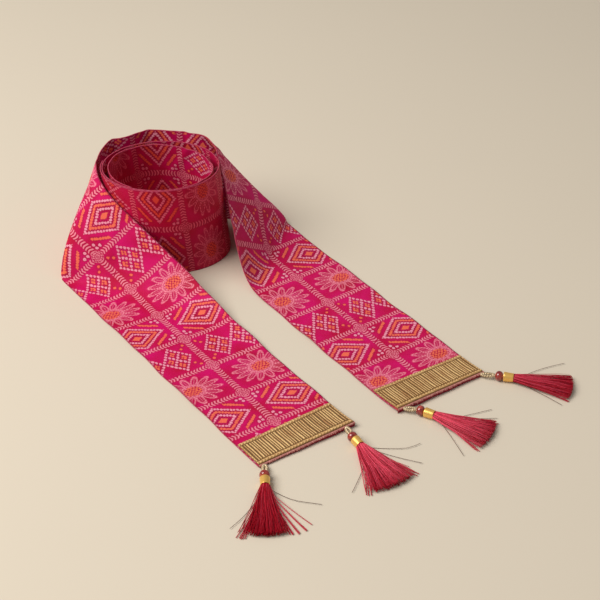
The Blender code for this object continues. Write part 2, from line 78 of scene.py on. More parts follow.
# The two ends, as the solids have them, with angles in degrees. Each stands on a wall, turns over
# in a fan of creases about its apex, and lies on the table along its heading.
Tail = namedtuple("Tail", "name apex_x apex_y heading wall side leaves_wall wall_pull "
                          "meets_table table_pull length end_slant lift_lower lift_upper "
                          "press_at press billow billow_reach billow_heading "
                          "billow_angle billow_spread rise")
TAILS = (
    Tail(name="left", apex_x=-0.1003, apex_y=-0.0589, heading=-53.83, wall=67.9, side=1,
         leaves_wall=40.1, wall_pull=89.0, meets_table=69.8, table_pull=24.5,
         length=0.3485, end_slant=0.052, lift_lower=0.0008, lift_upper=0.0034,
         press_at=-0.062, press=0.0061, billow=0.0051, billow_reach=0.0355,
         billow_heading=178.0, billow_angle=-35.0, billow_spread=34.0, rise=0.0),
    Tail(name="right", apex_x=0.1268, apex_y=0.0451, heading=-54.53, wall=169.0, side=-1,
         leaves_wall=44.7, wall_pull=65.1, meets_table=43.1, table_pull=27.3,
         length=0.3165, end_slant=-0.026, lift_lower=0.0026, lift_upper=0.0034,
         press_at=-0.110, press=-0.0015, billow=0.0040, billow_reach=0.0190,
         billow_heading=24.0, billow_angle=-28.0, billow_spread=62.0, rise=0.0025),
)
FAN_STEPS = 120
# The fold is softened over this much of the strip to either side, from this many samples.
SOFT_RADIUS = 0.006
SOFT_SAMPLES = 9
# How far the press reaches along the wall, the place and the reach of the rise about the apex,
# and the run over which the cut end lifts off the table.
PRESS_REACH = 0.030
RISE_ACROSS = 0.007
RISE_RADIUS = 0.028
LIFT_RUN = 0.045
SEAM_MARGIN = 0.0005
# How far the hems of a laid end run out of true, and how finely the cloth is cut at them.
EDGE_WAVER = 0.0007
EDGE_STEP = 0.0009
# The slant of a cut end is taken up from here on.
SLANTS_FROM = 0.20

# The outer turn's inner face between the two standing walls, from the coil's middle.
BACK_TURN = ((-0.0466, 0.0556), (-0.0360, 0.0622), (-0.0265, 0.0686), (-0.0166, 0.0728),
             (-0.0060, 0.0727), (0.0045, 0.0709), (0.0140, 0.0688), (0.0205, 0.0666))
BACK_LEAD = 0.0015

# The coil's outer face is an ellipse, drawn in by an inset at an angle.
COIL_HALF_LENGTH = 0.0602
COIL_HALF_DEPTH = 0.0515
COIL_MIDDLE = (-0.0004, -0.0001)
COIL_FOOT_SHIFT = (0.0085, 0.0050)
COIL_INSETS = ((-190, 0.0000), (-60, 0.0000), (0, 0.0001), (60, 0.0004), (150, 0.0016),
               (200, 0.0018), (270, 0.0020), (300, 0.0022), (325, 0.0026), (354, 0.0055),
               (380, 0.0102), (410, 0.0108), (440, 0.0096), (470, 0.0070), (500, 0.0062),
               (535, 0.0078), (560, 0.0070), (582, 0.0050), (600, 0.0036))

# The printed cells: CELL along the strip and CELL_DEPTH across it. In each run of three cells,
# the first holds nested squares, the second a flower and the third a kite.
CELL = 0.0493
CELL_DEPTH = 0.072
# In millimetres: what stands for no dot near, and how far the hand-tied dots wander.
AWAY = 9.0
DOT_WANDER = 1.7

# Gold bands, with the braids round them, and the rolled hem and flap of each cut end. The
# flap is a dark sheet that stands in for the shade under the lifted end.
BAND_DEPTH = 0.0325
BAND_SPLAY = 0.035
BAND_BASE = 0.0008
BAND_END_MARGIN = 0.0008
BAND_SIDE_MARGIN = 0.0010
BRAID_HALF = 0.0020
SIDE_BRAID_HALF = 0.0009
GROOVE = 0.0006
PLAIT_PITCH = 0.0032
RIB_TWIST = 0.0021
END_HEM_TOP = 0.0015
END_HEM_DEPTH = 0.0070
ROLL_RADIUS = 0.0008
LOOP_RISE = 0.00030
HEM_SIDE_MARGIN = 0.0004
HEM_THICKNESS = 0.0003
HEM_OFF_TABLE = 0.0003

# Tassels, as the solids have them.
Tassel = namedtuple("Tassel", "name tail across cap_x cap_y heading skirt_length half_spread")
TASSELS = (
    Tassel("left_outer", "left", 0.0060, 0.1111, -0.3579, -87.0, 0.0565, 0.0265),
    Tassel("left_inner", "left", 0.0905, 0.1882, -0.3086, -60.0, 0.0560, 0.0265),
    Tassel("right_inner", "right", 0.0945, 0.2513, -0.2716, -27.5, 0.0553, 0.0208),
    Tassel("right_outer", "right", 0.0055, 0.3272, -0.2211, -12.6, 0.0545, 0.0190),
)
AXIS_HEIGHT = 0.0049
LOOP_WIDTH = 0.0060
BEAD_LENGTH = 0.0072
BEAD_RADIUS = 0.0047
CAP_LENGTH = 0.0092
CAP_RADIUS = 0.0045
CAP_MOUTH = CAP_RADIUS * 0.90
LOOP_POINTS = 168
LOOP_TWISTS = 8
LOOP_STRAND_RADIUS = 0.00078
LOOP_STRAND_OFF = 0.00068

# How each skirt has come to lie: the share of its spread that its core fills, the share of its
# strands that stray beyond that, its tint, which is painted light that makes a whole skirt
# lighter or darker, how streaky its painted highlights are, its loose threads by points, and
# the tips of strands combed aside. Points are along the skirt's axis and to the left of it.
SkirtLook = namedtuple("SkirtLook", "core astray tint streaks loose combed")
SKIRT_LOOKS = {
    "left_outer": SkirtLook(0.64, 0.10, -0.10, 0.06, (
        ((0.004, 0.008), (0.013, 0.020), (0.021, 0.046)),
        ((0.010, -0.006), (0.036, -0.022), (0.045, -0.030))),
        ((0.0437, 0.0364), (0.0500, 0.0322), (0.0508, 0.0316), (0.0530, 0.0262), (0.0542, 0.0256),
         (0.0520, 0.0244), (0.0537, 0.0210), (0.0545, 0.0204), (0.0540, 0.0182), (0.0555, -0.0252),
         (0.0562, -0.0226), (0.0570, -0.0218), (0.0573, -0.0204), (0.0570, -0.0182))),
    "left_inner": SkirtLook(0.82, 0.14, 0.42, 0.36, (
        ((0.002, 0.007), (0.013, 0.023), (0.020, 0.038), (0.020, 0.049)),
        ((0.012, 0.012), (0.027, 0.023), (0.042, 0.036)),
        ((0.012, -0.004), (0.034, -0.024), (0.043, -0.035))),
        ((0.0513, -0.0262), (0.0530, -0.0250), (0.0540, -0.0228), (0.0500, 0.0254),
         (0.0515, 0.0262), (0.0530, 0.0236))),
    "right_inner": SkirtLook(0.95, 0.12, 0.44, 0.36, (
        ((0.012, 0.006), (0.026, 0.019), (0.041, 0.035)),
        ((0.010, -0.005), (0.024, -0.017), (0.042, -0.034)),
        ((0.020, 0.010), (0.050, 0.026))),
        ((0.0520, -0.0222), (0.0500, -0.0226), (0.0475, -0.0218), (0.0535, 0.0196))),
    "right_outer": SkirtLook(0.95, 0.08, 0.02, 0.26, (
        ((0.006, 0.006), (0.014, 0.015), (0.027, 0.026), (0.044, 0.037)),
        ((0.014, -0.006), (0.030, -0.015), (0.046, -0.025))),
        ((0.0520, -0.0182), (0.0510, -0.0188), (0.0535, 0.0152))),
}
# Points along a strand, and how far it reaches back into the cap.
SKIRT_POINTS = 9
IN_CAP = 0.0020
# How the strands lie: how low a tip comes, how high they are piled there, how far they bend and
# wave, and the power by which they fall from the cap to the table.
TIP_LOWEST = 0.0006
PILE_HEIGHT = 0.0052
STRAND_BEND = 0.0012
STRAND_WAVE = 0.00030
SKIRT_FALL = 1.5

# The table, the large soft light over its left, and the camera, which looks down at an angle.
TABLE_HALF = 4.0
KEY_AT = (-1.70, -0.40, 2.1)
KEY_TARGET = (-0.02, 0.02, 0.0)
KEY_SIZE = 1.9
CAMERA_AT = (-0.003825, -1.065698, 0.815)
CAMERA_DOWN = 35.4
CAMERA_LENS = 85.02


# ---------------------------------------------------------------- sizes and colours

def colour_setting(name, description, default):
    """A colour that the sidebar can change."""
    return FloatVectorProperty(name=name, description=description, default=default, size=3,
                               subtype="COLOR", min=0.0, max=1.0)


def length_setting(name, description, default):
    """A length that the sidebar can change."""
    return FloatProperty(name=name, description=description, default=default, min=0.0,
                         unit="LENGTH", precision=4)


class StoleClothSettings(bpy.types.PropertyGroup):
    """The printed silk."""

    thickness: length_setting("Thickness", "Thickness of the lined silk", 0.0009)
    cell: length_setting("Mesh cell", "Length of one cell of the cloth's mesh", 0.0021)
    ripple: length_setting("Ripple", "How far the laid ends ripple off the table", 0.0011)
    flute: length_setting("Flute", "How far the standing wall wavers", 0.00022)
    magenta: colour_setting("Magenta", "Ground colour at its pinkest", (0.640, 0.003, 0.135))
    crimson: colour_setting("Crimson", "Ground colour at its reddest", (0.500, 0.002, 0.045))
    pale: colour_setting("Pale dots", "Undyed dots", (0.93, 0.37, 0.50))
    orange: colour_setting("Orange dots", "Dots dyed orange", (0.90, 0.165, 0.090))
    strokes: colour_setting("Strokes", "Pink of the borders and petals", (0.90, 0.285, 0.375))
    line: colour_setting("Dark lines", "Darker dye between the dots", (0.30, 0.002, 0.030))
    # Painted shade: the share of each colour left where the coil's front and inner walls are
    # darkened to stand in for their shade.
    depth: colour_setting("Depth", "Share of each colour left in the coil", (0.80, 0.30, 0.38))


class StoleBandSettings(bpy.types.PropertyGroup):
    """The gold lace bands."""

    ribs: IntProperty(name="Ribs", description="Ribs across a band", default=38, min=10, max=80)
    rib_height: length_setting("Rib height", "Height of a rib over the base", 0.0007)
    # Painted highlight: the pale gold painted on the ribs' high crests.
    crest_highlight: colour_setting("Crest", "Gold thread on the crests", (0.86, 0.585, 0.265))
    gold: colour_setting("Gold thread", "Gold thread down the ribs' sides", (0.54, 0.33, 0.125))
    copper: colour_setting("Copper", "Tarnished patches of the thread", (0.52, 0.22, 0.085))
    # Painted shade: the dark colour painted where the relief is low, between the ribs and in the
    # grooves.
    shade: colour_setting("Shade", "Dark ground between the ribs", (0.165, 0.080, 0.022))
    picot: colour_setting("Hem", "Pink loops along the hem of an end", (0.84, 0.45, 0.37))


class StoleTasselSettings(bpy.types.PropertyGroup):
    """The beaded silk tassels."""

    strands: IntProperty(name="Strands", description="Silk strands in a tassel", default=430,
                         min=50, max=900)
    strand_radius: length_setting("Strand radius", "Radius of one silk strand", 0.00021)
    silk: colour_setting("Silk", "Crimson of the strands", (0.37, 0.001, 0.012))
    # Painted highlight: the pink of strands lit by their sheen.
    silk_highlight: colour_setting("Silk highlight", "Pink of the faded strands", (0.93, 0.105, 0.185))
    loose: colour_setting("Loose threads", "Brown of the threads astray", (0.110, 0.045, 0.036))
    brass: colour_setting("Cap", "Bright gold of the caps", (0.95, 0.60, 0.16))
    bead: colour_setting("Bead", "Red glass of the beads", (0.20, 0.004, 0.008))
    thread: colour_setting("Loop thread", "Pale gold thread of the loops", (0.86, 0.72, 0.50))


class StoleStageSettings(bpy.types.PropertyGroup):
    """The table, the light and the camera."""

    table: colour_setting("Table", "Pale cloth of the table", (0.72, 0.645, 0.53))
    key_power: FloatProperty(name="Key light", description="Power of the large soft light",
                             default=79.0, min=0.0, unit="POWER")
    fill: FloatProperty(name="Fill", description="Strength of the even light", default=0.31,
                        min=0.0)


# ---------------------------------------------------------------- numbers that vary over a surface

def put(slot, value):
    """Links a field or a socket to an input, or sets a plain value on it."""
    if isinstance(value, Field):
        value = value.socket
    if isinstance(value, bpy.types.NodeSocket):
        slot.id_data.links.new(value, slot)
    else:
        slot.default_value = value


def feed(node, **values):
    """Links or sets a node's inputs by name, with _ for a space, and returns the node."""
    for label, value in values.items():
        put(node.inputs[label.replace("_", " ")], value)
    return node


class Field:
    """A number that varies over the surface, held as a socket of a node tree."""

    def __init__(self, socket):
        self.socket = socket
        self.tree = socket.id_data

    def math(self, operation, *others, clamp=False):
        """Links a Math node of this field and the others."""
        node = self.tree.nodes.new("ShaderNodeMath")
        node.operation = operation
        node.use_clamp = clamp
        for slot, value in zip(node.inputs, (self, *others)):
            put(slot, value)
        return Field(node.outputs[0])

    def __add__(self, other):
        return self.math("ADD", other)

    def __sub__(self, other):
        return self.math("SUBTRACT", other)

    def __mul__(self, other):
        return self.math("MULTIPLY", other)

    def over(self, edge, soft):
        """1 above the edge, 0 below it, and a ramp of the soft width between."""
        return self.math("MULTIPLY_ADD", 1.0 / soft, 0.5 - edge / soft, clamp=True)

    def under(self, edge, soft):
        """1 below the edge, 0 above it, and a ramp of the soft width between."""
        return self.math("MULTIPLY_ADD", -1.0 / soft, 0.5 + edge / soft, clamp=True)

    def within(self, low, high, soft):
        """1 between two edges."""
        return self.over(low, soft) * self.under(high, soft)

    def away(self):
        """AWAY where the field is 0, and nothing where it is 1."""
        return self.math("MULTIPLY_ADD", -1.0, 1.0) * AWAY

    def every(self, pitch):
        """Distance to the nearest multiple of the pitch."""
        return self.math("PINGPONG", pitch / 2)

    def most(self, other):
        """The larger of two fields."""
        return self.math("MAXIMUM", other)

    def least(self, other):
        """The smaller of two fields."""
        return self.math("MINIMUM", other)

    def size(self):
        """The field without its sign."""
        return self.math("ABSOLUTE")

    def hypot(self, other):
        """The length of two fields at right angles."""
        return (self * self + other * other).math("SQRT")

    def from_point(self, other, at_x, at_y):
        """Distance of (this, other) from a point."""
        return (self - at_x).hypot(other - at_y)

    def to_dots(self, off, pitch):
        """Distance to the nearest of a row of dots, where this runs along it and off is beside."""
        return self.every(pitch).hypot(off)


def new_group(name, inputs, outputs):
    """A shader node group with named sockets: its tree, what it is given and its output node.

    An input has a number as its default, or None where it is a vector.
    """
    group = bpy.data.node_groups.new(name, "ShaderNodeTree")
    for label, value in inputs.items():
        kind = "NodeSocketVector" if value is None else "NodeSocketFloat"
        socket = group.interface.new_socket(name=label, in_out="INPUT", socket_type=kind)
        if value is not None:
            socket.default_value = value
    for label in outputs:
        group.interface.new_socket(name=label, in_out="OUTPUT", socket_type="NodeSocketFloat")
    given = group.nodes.new("NodeGroupInput").outputs
    return group, given, group.nodes.new("NodeGroupOutput")


def use_group(tree, name, **inputs):
    """Places a group in a tree with its inputs by name, and returns what it puts out."""
    node = tree.nodes.new("ShaderNodeGroup")
    node.node_tree = bpy.data.node_groups[name]
    return feed(node, **inputs).outputs


def vector_math(tree, operation, *values):
    """The socket of a Vector Math node of sockets and triples."""
    node = tree.nodes.new("ShaderNodeVectorMath")
    node.operation = operation
    for slot, value in zip(node.inputs, values):
        put(slot, value)
    return node.outputs[0]


def split(vector):
    """The first two numbers of a vector socket."""
    node = vector.id_data.nodes.new("ShaderNodeSeparateXYZ")
    put(node.inputs[0], vector)
    return Field(node.outputs["X"]), Field(node.outputs["Y"])


def noise(vector, scale, detail):
    """What a noise texture puts out at a vector socket."""
    node = vector.id_data.nodes.new("ShaderNodeTexNoise")
    return feed(node, Vector=vector, Scale=scale, Detail=detail).outputs


def mottle(place, scale):
    """The soft_mottle group's tone at a place."""
    return Field(use_group(place.id_data, "soft_mottle", Place=place, Scale=scale)["Tone"])


# Each motif of the print is the same to either side, so it is drawn in one quarter of its cell,
# at x along the strip and y across it from the cell's middle, in millimetres.

def squares_motif(x, y):
    """Nested squares on their corners: to the pale dots, to the orange ones, and dark seams.

    Two pale rows have an orange one inside each of them and rows of small dark dots between.
    """
    half_x, half_y = 18.8, 26.6
    slope = math.hypot(half_x, half_y)
    step = half_x * half_y / slope
    nest = x * (1.0 / half_x) + y * (1.0 / half_y)
    run = x * (half_x / slope) - y * (half_y / slope)
    rows = run.to_dots((nest - 0.46).every(0.54) * step, 2.9) - 0.32
    rows = rows + nest.within(0.30, 1.1, 0.03).away()
    trio = x.from_point(y, 17.9, 29.3).least(x.from_point(y, 13.9, 29.6))
    trio = trio.least(x.from_point(y, 18.0, 24.9)) - 0.55
    inner = (run + 1.4).to_dots((nest - 0.735).size() * step, 2.8) - 0.42
    middle = (nest - 0.13) * step
    bar = run.to_dots((nest - 1.46) * step, 2.7) - 0.50 + y.within(11.0, 27.0, 0.5).away()
    seams = (run + 0.6).to_dots((nest - 0.31).every(0.28) * step, 2.3)
    seams = (seams + nest.over(1.0, 0.03) * AWAY).under(0.9, 0.5)
    return rows.least(trio), inner.least(middle).least(bar), seams


def flower_motif(x, y, uneven):
    """A flower: to the orange dots of its knot, its fourteen outlined petals, and its radius."""
    petal_x, petal_y = x * (1.0 / 19.6), y * (1.0 / 27.6)
    petal_length = 23.0
    radius = petal_x.hypot(petal_y)
    turn = petal_y.math("ARCTAN2", petal_x).every(math.radians(360.0 / 14)) * radius
    turn = turn * petal_length
    reach = (radius - 0.69) * petal_length
    leaf = turn.hypot(reach * 0.36) * (1.0 / 2.5)
    ties = (reach + turn * 0.5).every(2.6).under(0.85, 0.6) * 0.7 + 0.3
    petals = ((leaf - 1.0) * 2.5).size().under(0.62, 0.7) * ties
    petals = petals.most(turn.under(0.40, 0.7) * radius.within(0.44, 0.84, 0.06) * 0.5)
    knot = (x + y * 0.8).to_dots((x * 0.8 - y).every(3.3), 3.3) - 0.40 + uneven * 0.5
    return knot + radius.over(0.37, 0.08) * AWAY, petals * (uneven + 0.95), radius


def kite_motif(x, y):
    """A kite to either side of a small cross, tied off in four: to the pale and orange dots."""
    arm_x, arm_y = 18.6, 13.9
    arm = math.hypot(arm_x, arm_y)
    gauge = 2.0 * arm_x * arm_y / arm
    left = y * (0.5 / arm_y) - x * (0.5 / arm_x)
    right = y * (0.5 / arm_y) + x * (0.5 / arm_x)
    outside = (left.over(-0.07, 0.03) * right.under(1.06, 0.03)).away()
    rows = (right * arm).to_dots(left.every(0.5) * gauge, arm / 6)
    rows = rows.least((left * arm).to_dots(right.every(0.5) * gauge, arm / 6))
    blobs = (((right.every(0.5) - 0.25) * gauge).size() - 1.55).size()
    blobs = blobs.from_point(((left.every(0.5) - 0.25) * gauge).size(), 0.0, 1.15) - 0.22
    corner = x.from_point(y, 12.6, 25.2).least(x.from_point(y, 16.9, 29.0)) - 0.5
    orange = (blobs + outside + left.under(0.0, 0.03) * AWAY).least(corner)
    return rows - 0.46 + outside, orange


def border_motif(off_cross, off_long, uneven):
    """Borders, by how far off each line of cells is: their strokes, their dark and all clear.

    Curved strokes run along the strip and slanted pairs across it, with a rosette where they meet.
    """
    bowed = off_cross + off_long * off_long * 0.11
    long_run = bowed.every(3.2).under(0.72, 0.6) * off_long.under(3.3, 0.6)
    slanted = off_long + off_cross * 0.5
    cross_run = slanted.every(3.2).under(0.75, 0.6) * off_cross.under(2.9, 0.6)
    corner = off_long.hypot(off_cross)
    dark = off_long.under(3.6, 0.8).most(off_cross.under(3.2, 0.8)).most(corner.under(6.5, 0.8))
    around = off_long.math("ARCTAN2", off_cross) * 4.4 + corner * 0.35
    rosette = around.to_dots((corner + uneven * 0.7).every(2.1), 2.3).under(0.85, 0.6)
    rosette = rosette * corner.under(6.3, 0.8) * 0.9
    clear = corner.over(6.2, 0.6)
    return (long_run.most(cross_run) * clear).most(rosette), dark, clear


def make_print_group():
    """The tied print: nested squares, flowers and kites in cells with herringbone borders.

    Print is the place on the cloth in cells along the strip and across it.
    """
    group, given, leave = new_group("bandhani_print", {"Print": None},
                                    ("Pale", "Orange", "Petal", "Stroke", "Line"))
    cell_x, cell_y = CELL * 1000.0, CELL_DEPTH * 1000.0
    # Hand-tied dots wander a little, and some are larger than others.
    place = vector_math(group, "MULTIPLY", given["Print"], (cell_x, cell_y, 1.0))
    reach = (DOT_WANDER / cell_x, DOT_WANDER / cell_y, 0.0)
    moved = vector_math(group, "MULTIPLY_ADD", noise(place, 0.23, 1.0)["Color"], reach,
                        given["Print"])
    along, across = split(moved)
    along, across = along - reach[0] / 2, across - reach[1] / 2
    uneven = (Field(noise(place, 0.55, 1.0)["Fac"]) - 0.5) * 1.3
    x = (along.math("FRACT") - 0.5).size() * cell_x
    y = (across.math("FRACT") - 0.5).size() * cell_y

    squares_pale, squares_orange, seams = squares_motif(x, y)
    knot, petals, radius = flower_motif(x, y, uneven)
    kite_pale, kite_orange = kite_motif(x, y)
    off_cross = x.math("MULTIPLY_ADD", -1.0, cell_x / 2)
    off_long = y.math("MULTIPLY_ADD", -1.0, cell_y / 2)
    stroke, dark, clear = border_motif(off_cross, off_long, uneven)
    kind = along.math("FLOOR").math("FLOORED_MODULO", 3.0)
    squares, flower, kite = (kind.math("COMPARE", float(k), 0.1) for k in range(3))
    to_pale = squares_pale * squares + kite_pale * kite + flower * AWAY + uneven
    to_orange = squares_orange * squares + knot * flower + kite_orange * kite + uneven
    line = to_pale.least(to_orange).under(1.9, 1.2) * 0.7
    line = line.most(seams * squares).most(radius.under(0.97, 0.1) * flower * 0.3)
    pale = to_pale.under(0.95, 0.6) * clear * (to_pale.over(0.0, 0.7) * 0.3 + 0.7)
    feed(leave, Pale=pale, Orange=to_orange.under(1.0, 0.6) * clear,
         Petal=petals * flower * clear, Stroke=stroke, Line=(line * clear).most(dark * 0.5))


def make_weave_group():
    """A plain weave with slubs: Cloth is the place on the cloth in metres."""
    group, given, leave = new_group("silk_weave", {"Cloth": None, "Pitch": 0.45, "Slub": 1.0},
                                    ("Height", "Tone"))
    millimetres = vector_math(group, "MULTIPLY", given["Cloth"], (1000.0, 1000.0, 1.0))
    warp, weft = ((field * (2.0 * math.pi)).math("DIVIDE", Field(given["Pitch"])).math("SINE")
                  for field in split(millimetres))
    threads = warp * weft
    slubs, cross_slubs = (
        Field(noise(vector_math(group, "MULTIPLY", millimetres, stretch), 1.0, 2.0)["Fac"])
        for stretch in ((0.35, 2.6, 1.0), (2.6, 0.35, 1.0)))
    slubs = (slubs + cross_slubs - 1.0) * Field(given["Slub"])
    feed(leave, Height=threads * 0.3 + slubs, Tone=slubs * 0.9 + threads * 0.08)


def make_mottle_group():
    """Soft uneven tone from -1 to 1, for dye, tarnish and dust."""
    _, given, leave = new_group("soft_mottle", {"Place": None, "Scale": 30.0}, ("Tone",))
    feed(leave, Tone=(Field(noise(given["Place"], given["Scale"], 3.0)["Fac"]) - 0.5) * 2.6)


def make_twist_group():
    """Twisted thread: Run is along it in turns and Round about it in turns."""
    _, given, leave = new_group("thread_twist", {"Run": 0.0, "Round": 0.0, "Fineness": 1.0},
                                ("Height",))
    phase = Field(given["Run"]) * Field(given["Fineness"]) + Field(given["Round"])
    feed(leave, Height=(phase * (2.0 * math.pi)).math("SINE"))


# ---------------------------------------------------------------- materials

def new_material(name, **sockets):
    """A Principled material with its plain sockets set: returns its tree and its shader."""
    material = bpy.data.materials.new(name)
    material.use_nodes = True
    tree = material.node_tree
    return tree, feed(tree.nodes["Principled BSDF"], **sockets)


def uv_place(tree, name="cloth"):
    """The piece's own map of that name, as a vector socket."""
    node = tree.nodes.new("ShaderNodeUVMap")
    node.uv_map = name
    return node.outputs["UV"]


def object_place(tree):
    """Object coordinates, as a vector socket."""
    return tree.nodes.new("ShaderNodeTexCoord").outputs["Object"]


def from_mesh(tree, name):
    """A number that the piece's mesh holds at its vertices."""
    node = tree.nodes.new("ShaderNodeAttribute")
    node.attribute_name = name
    node.attribute_type = "GEOMETRY"
    return Field(node.outputs["Fac"])


def mixed(amount, first, second):
    """A colour socket between two colours, which are sockets or RGB, by an amount field."""
    node = amount.tree.nodes.new("ShaderNodeMix")
    node.data_type = "RGBA"
    node.clamp_factor = True
    put(node.inputs["Factor"], amount)
    for slot, colour in ((node.inputs[6], first), (node.inputs[7], second)):
        put(slot, colour if isinstance(colour, bpy.types.NodeSocket) else (*colour, 1.0))
    return node.outputs[2]


def toned(colour, tone, amount):
    """A colour socket made lighter and darker by a tone field about 0."""
    node = tone.tree.nodes.new("ShaderNodeVectorMath")
    node.operation = "SCALE"
    put(node.inputs[0], colour)
    return feed(node, Scale=tone * amount + 1.0).outputs[0]


def add_bump(shader, height, distance):
    """Feeds a height field to the shader's normal."""
    node = height.tree.nodes.new("ShaderNodeBump")
    feed(node, Strength=1.0, Distance=distance, Height=height)
    feed(shader, Normal=node.outputs["Normal"])


def printed_silk(settings):
    """The stole's tied and dyed silk, darkened by painted shade where its shade map says so."""
    tree, shader = new_material("printed_silk", Sheen_Weight=0.03, Sheen_Roughness=0.4,
                                Sheen_Tint=(1.0, 0.55, 0.65, 1.0), Specular_IOR_Level=0.12)
    cloth = uv_place(tree)
    printed = use_group(tree, "bandhani_print", Print=uv_place(tree, "print"))
    pale, orange, petal, stroke, line = (Field(socket) for socket in printed)
    weave = use_group(tree, "silk_weave", Cloth=cloth, Pitch=0.42, Slub=1.0)
    tone = Field(weave["Tone"])
    colour = mixed(mottle(cloth, 34.0) * 1.2 + 0.42, settings.magenta, settings.crimson)
    for amount, dye in ((line * 0.75, settings.line), (stroke.most(petal) * 0.9, settings.strokes),
                        (orange * 0.93, settings.orange), (pale * 0.93, settings.pale)):
        colour = mixed(amount, colour, dye)
    # Painted shade: the shade map darkens the colour towards the depth share on the coil's front and
    # inner walls.
    depth, _ = split(uv_place(tree, "dye"))
    colour = vector_math(tree, "MULTIPLY", colour, mixed(depth, (1.0, 1.0, 1.0), settings.depth))
    _, across = split(cloth)
    hem = (across - WIDTH / 2).size().over(WIDTH / 2 - 0.0011, 0.0006)
    colour = toned(mixed(hem * 0.6, colour, (0.26, 0.006, 0.05)), tone, 0.30)
    feed(shader, Base_Color=colour, Roughness=tone * 0.12 + 0.55)
    height = Field(weave["Height"]) + pale * 0.8 + orange * 0.5 + stroke * 0.4
    add_bump(shader, height, 0.00010)


def gold_lace(settings):
    """Woven gold thread: a painted highlight on the crests, brown down the sides and painted
    shade between the ribs.
    """
    tree, shader = new_material("woven_gold", Specular_IOR_Level=0.3)
    cloth = uv_place(tree)
    rise = from_mesh(tree, "relief")
    tarnish, fine = mottle(cloth, 70.0), mottle(cloth, 900.0)
    side = mixed(tarnish * 0.7 + 0.3, settings.gold, settings.copper)
    # Painted shade and highlight: dark where the relief is low, pale on the high crests.
    colour = mixed(rise.over(0.42, 0.55), settings.shade, side)
    colour = mixed((rise + fine * 0.20 - tarnish * 0.20).over(0.76, 0.30), colour, settings.crest_highlight)
    feed(shader, Base_Color=toned(colour, fine, 0.40), Metallic=rise * 0.20 + 0.02,
         Roughness=fine * 0.1 + 0.45)
    along, across = split(cloth)
    twist = use_group(tree, "thread_twist", Run=along * 1000.0, Round=across * 1000.0,
                      Fineness=0.9)
    add_bump(shader, Field(twist["Height"]) * 0.5 + fine, 0.00012)


def end_hem_silk(settings):
    """The hem at a cut end: pink thread loops on top, and under them a dark flap of painted shade.
    """
    tree, shader = new_material("end_hem_and_painted_shade", Roughness=0.6, Specular_IOR_Level=0.25)
    cloth = uv_place(tree)
    fine = mottle(cloth, 700.0)
    down, _ = split(cloth)
    tufts = down.under(END_HEM_TOP, 0.0004) * (fine.over(0.40, 0.25) * 0.50 + 0.50)
    # Painted shade: below the loops the flap is dark, standing in for the shade under the lifted
    # end; on top the dark shows in patches between the loops.
    colour = mixed(tufts, (0.30, 0.004, 0.030), settings.picot)
    feed(shader, Base_Color=toned(colour, fine, 0.5))
    add_bump(shader, fine, 0.00015)


def strand_silk(settings):
    """The skirts' silk: crimson, pinker where a strand has painted highlight, brown on loose
    threads.
    """
    tree, shader = new_material("strand_silk", Specular_IOR_Level=0.22)
    tint = from_mesh(tree, "shade")
    fine = mottle(object_place(tree), 900.0)
    # Painted highlight and shade: the shade attribute moves each strand between crimson and the pink
    # highlight.
    colour = mixed(tint, settings.silk, settings.silk_highlight)
    colour = mixed(tint * -1.0, colour, settings.loose)
    feed(shader, Base_Color=toned(colour, fine, 0.35), Roughness=fine * 0.08 + 0.38)


def mottled_finish(name, scale, mix, colours, roughness=None, bump=0.0, place=object_place,
                   **sockets):
    """A material of two colours that mix unevenly.

    The mix and the roughness are each a gain on the mottle's tone and the value at its middle.
    """
    tree, shader = new_material(name, **sockets)
    tone = mottle(place(tree), scale)
    feed(shader, Base_Color=mixed(tone * mix[0] + mix[1], *colours))
    if roughness:
        feed(shader, Roughness=tone * roughness[0] + roughness[1])
    if bump:
        add_bump(shader, tone, bump)


# ---------------------------------------------------------------- the strip's surfaces

def direction(azimuth, elevation=0.0):
    """Unit vector at an azimuth and an elevation in degrees."""
    a, e = math.radians(azimuth), math.radians(elevation)
    return np.array((math.cos(e) * math.cos(a), math.cos(e) * math.sin(a), math.sin(e)))


def unit(rows):
    """Rows of numbers, each made one long."""
    return rows / np.linalg.norm(rows, axis=1)[:, None]


def travelled_along(points):
    """Distance along a row of points at each of them."""
    steps = np.linalg.norm(np.diff(points, axis=0), axis=1)
    return np.concatenate(((0.0,), np.cumsum(steps)))


def on_path(values, at, where):
    """Rows of values that are given at stations, at other places between them."""
    return np.column_stack([np.interp(where, at, column) for column in values.T])


def table_direction(tail, flat_angle):
    """Where a crease at flat_angle degrees from square across the strip lies on the table."""
    return direction(tail.heading + tail.side * (90.0 - flat_angle))


@lru_cache
def crease_fan(tail):
    """Flat angles and directions of the creases between the wall and the table."""
    corners = (direction(tail.wall, tail.leaves_wall), direction(tail.wall, tail.wall_pull),
               table_direction(tail, tail.table_pull), table_direction(tail, tail.meets_table))
    t = np.linspace(0.0, 1.0, FAN_STEPS + 1)[:, None]
    curve = unit((1 - t) ** 3 * corners[0] + 3 * (1 - t) ** 2 * t * corners[1]
                 + 3 * (1 - t) * t ** 2 * corners[2] + t ** 3 * corners[3])
    travelled = travelled_along(curve)
    first, last = math.radians(tail.leaves_wall - 90.0), math.radians(tail.meets_table)
    return first + travelled / travelled[-1] * (last - first), curve


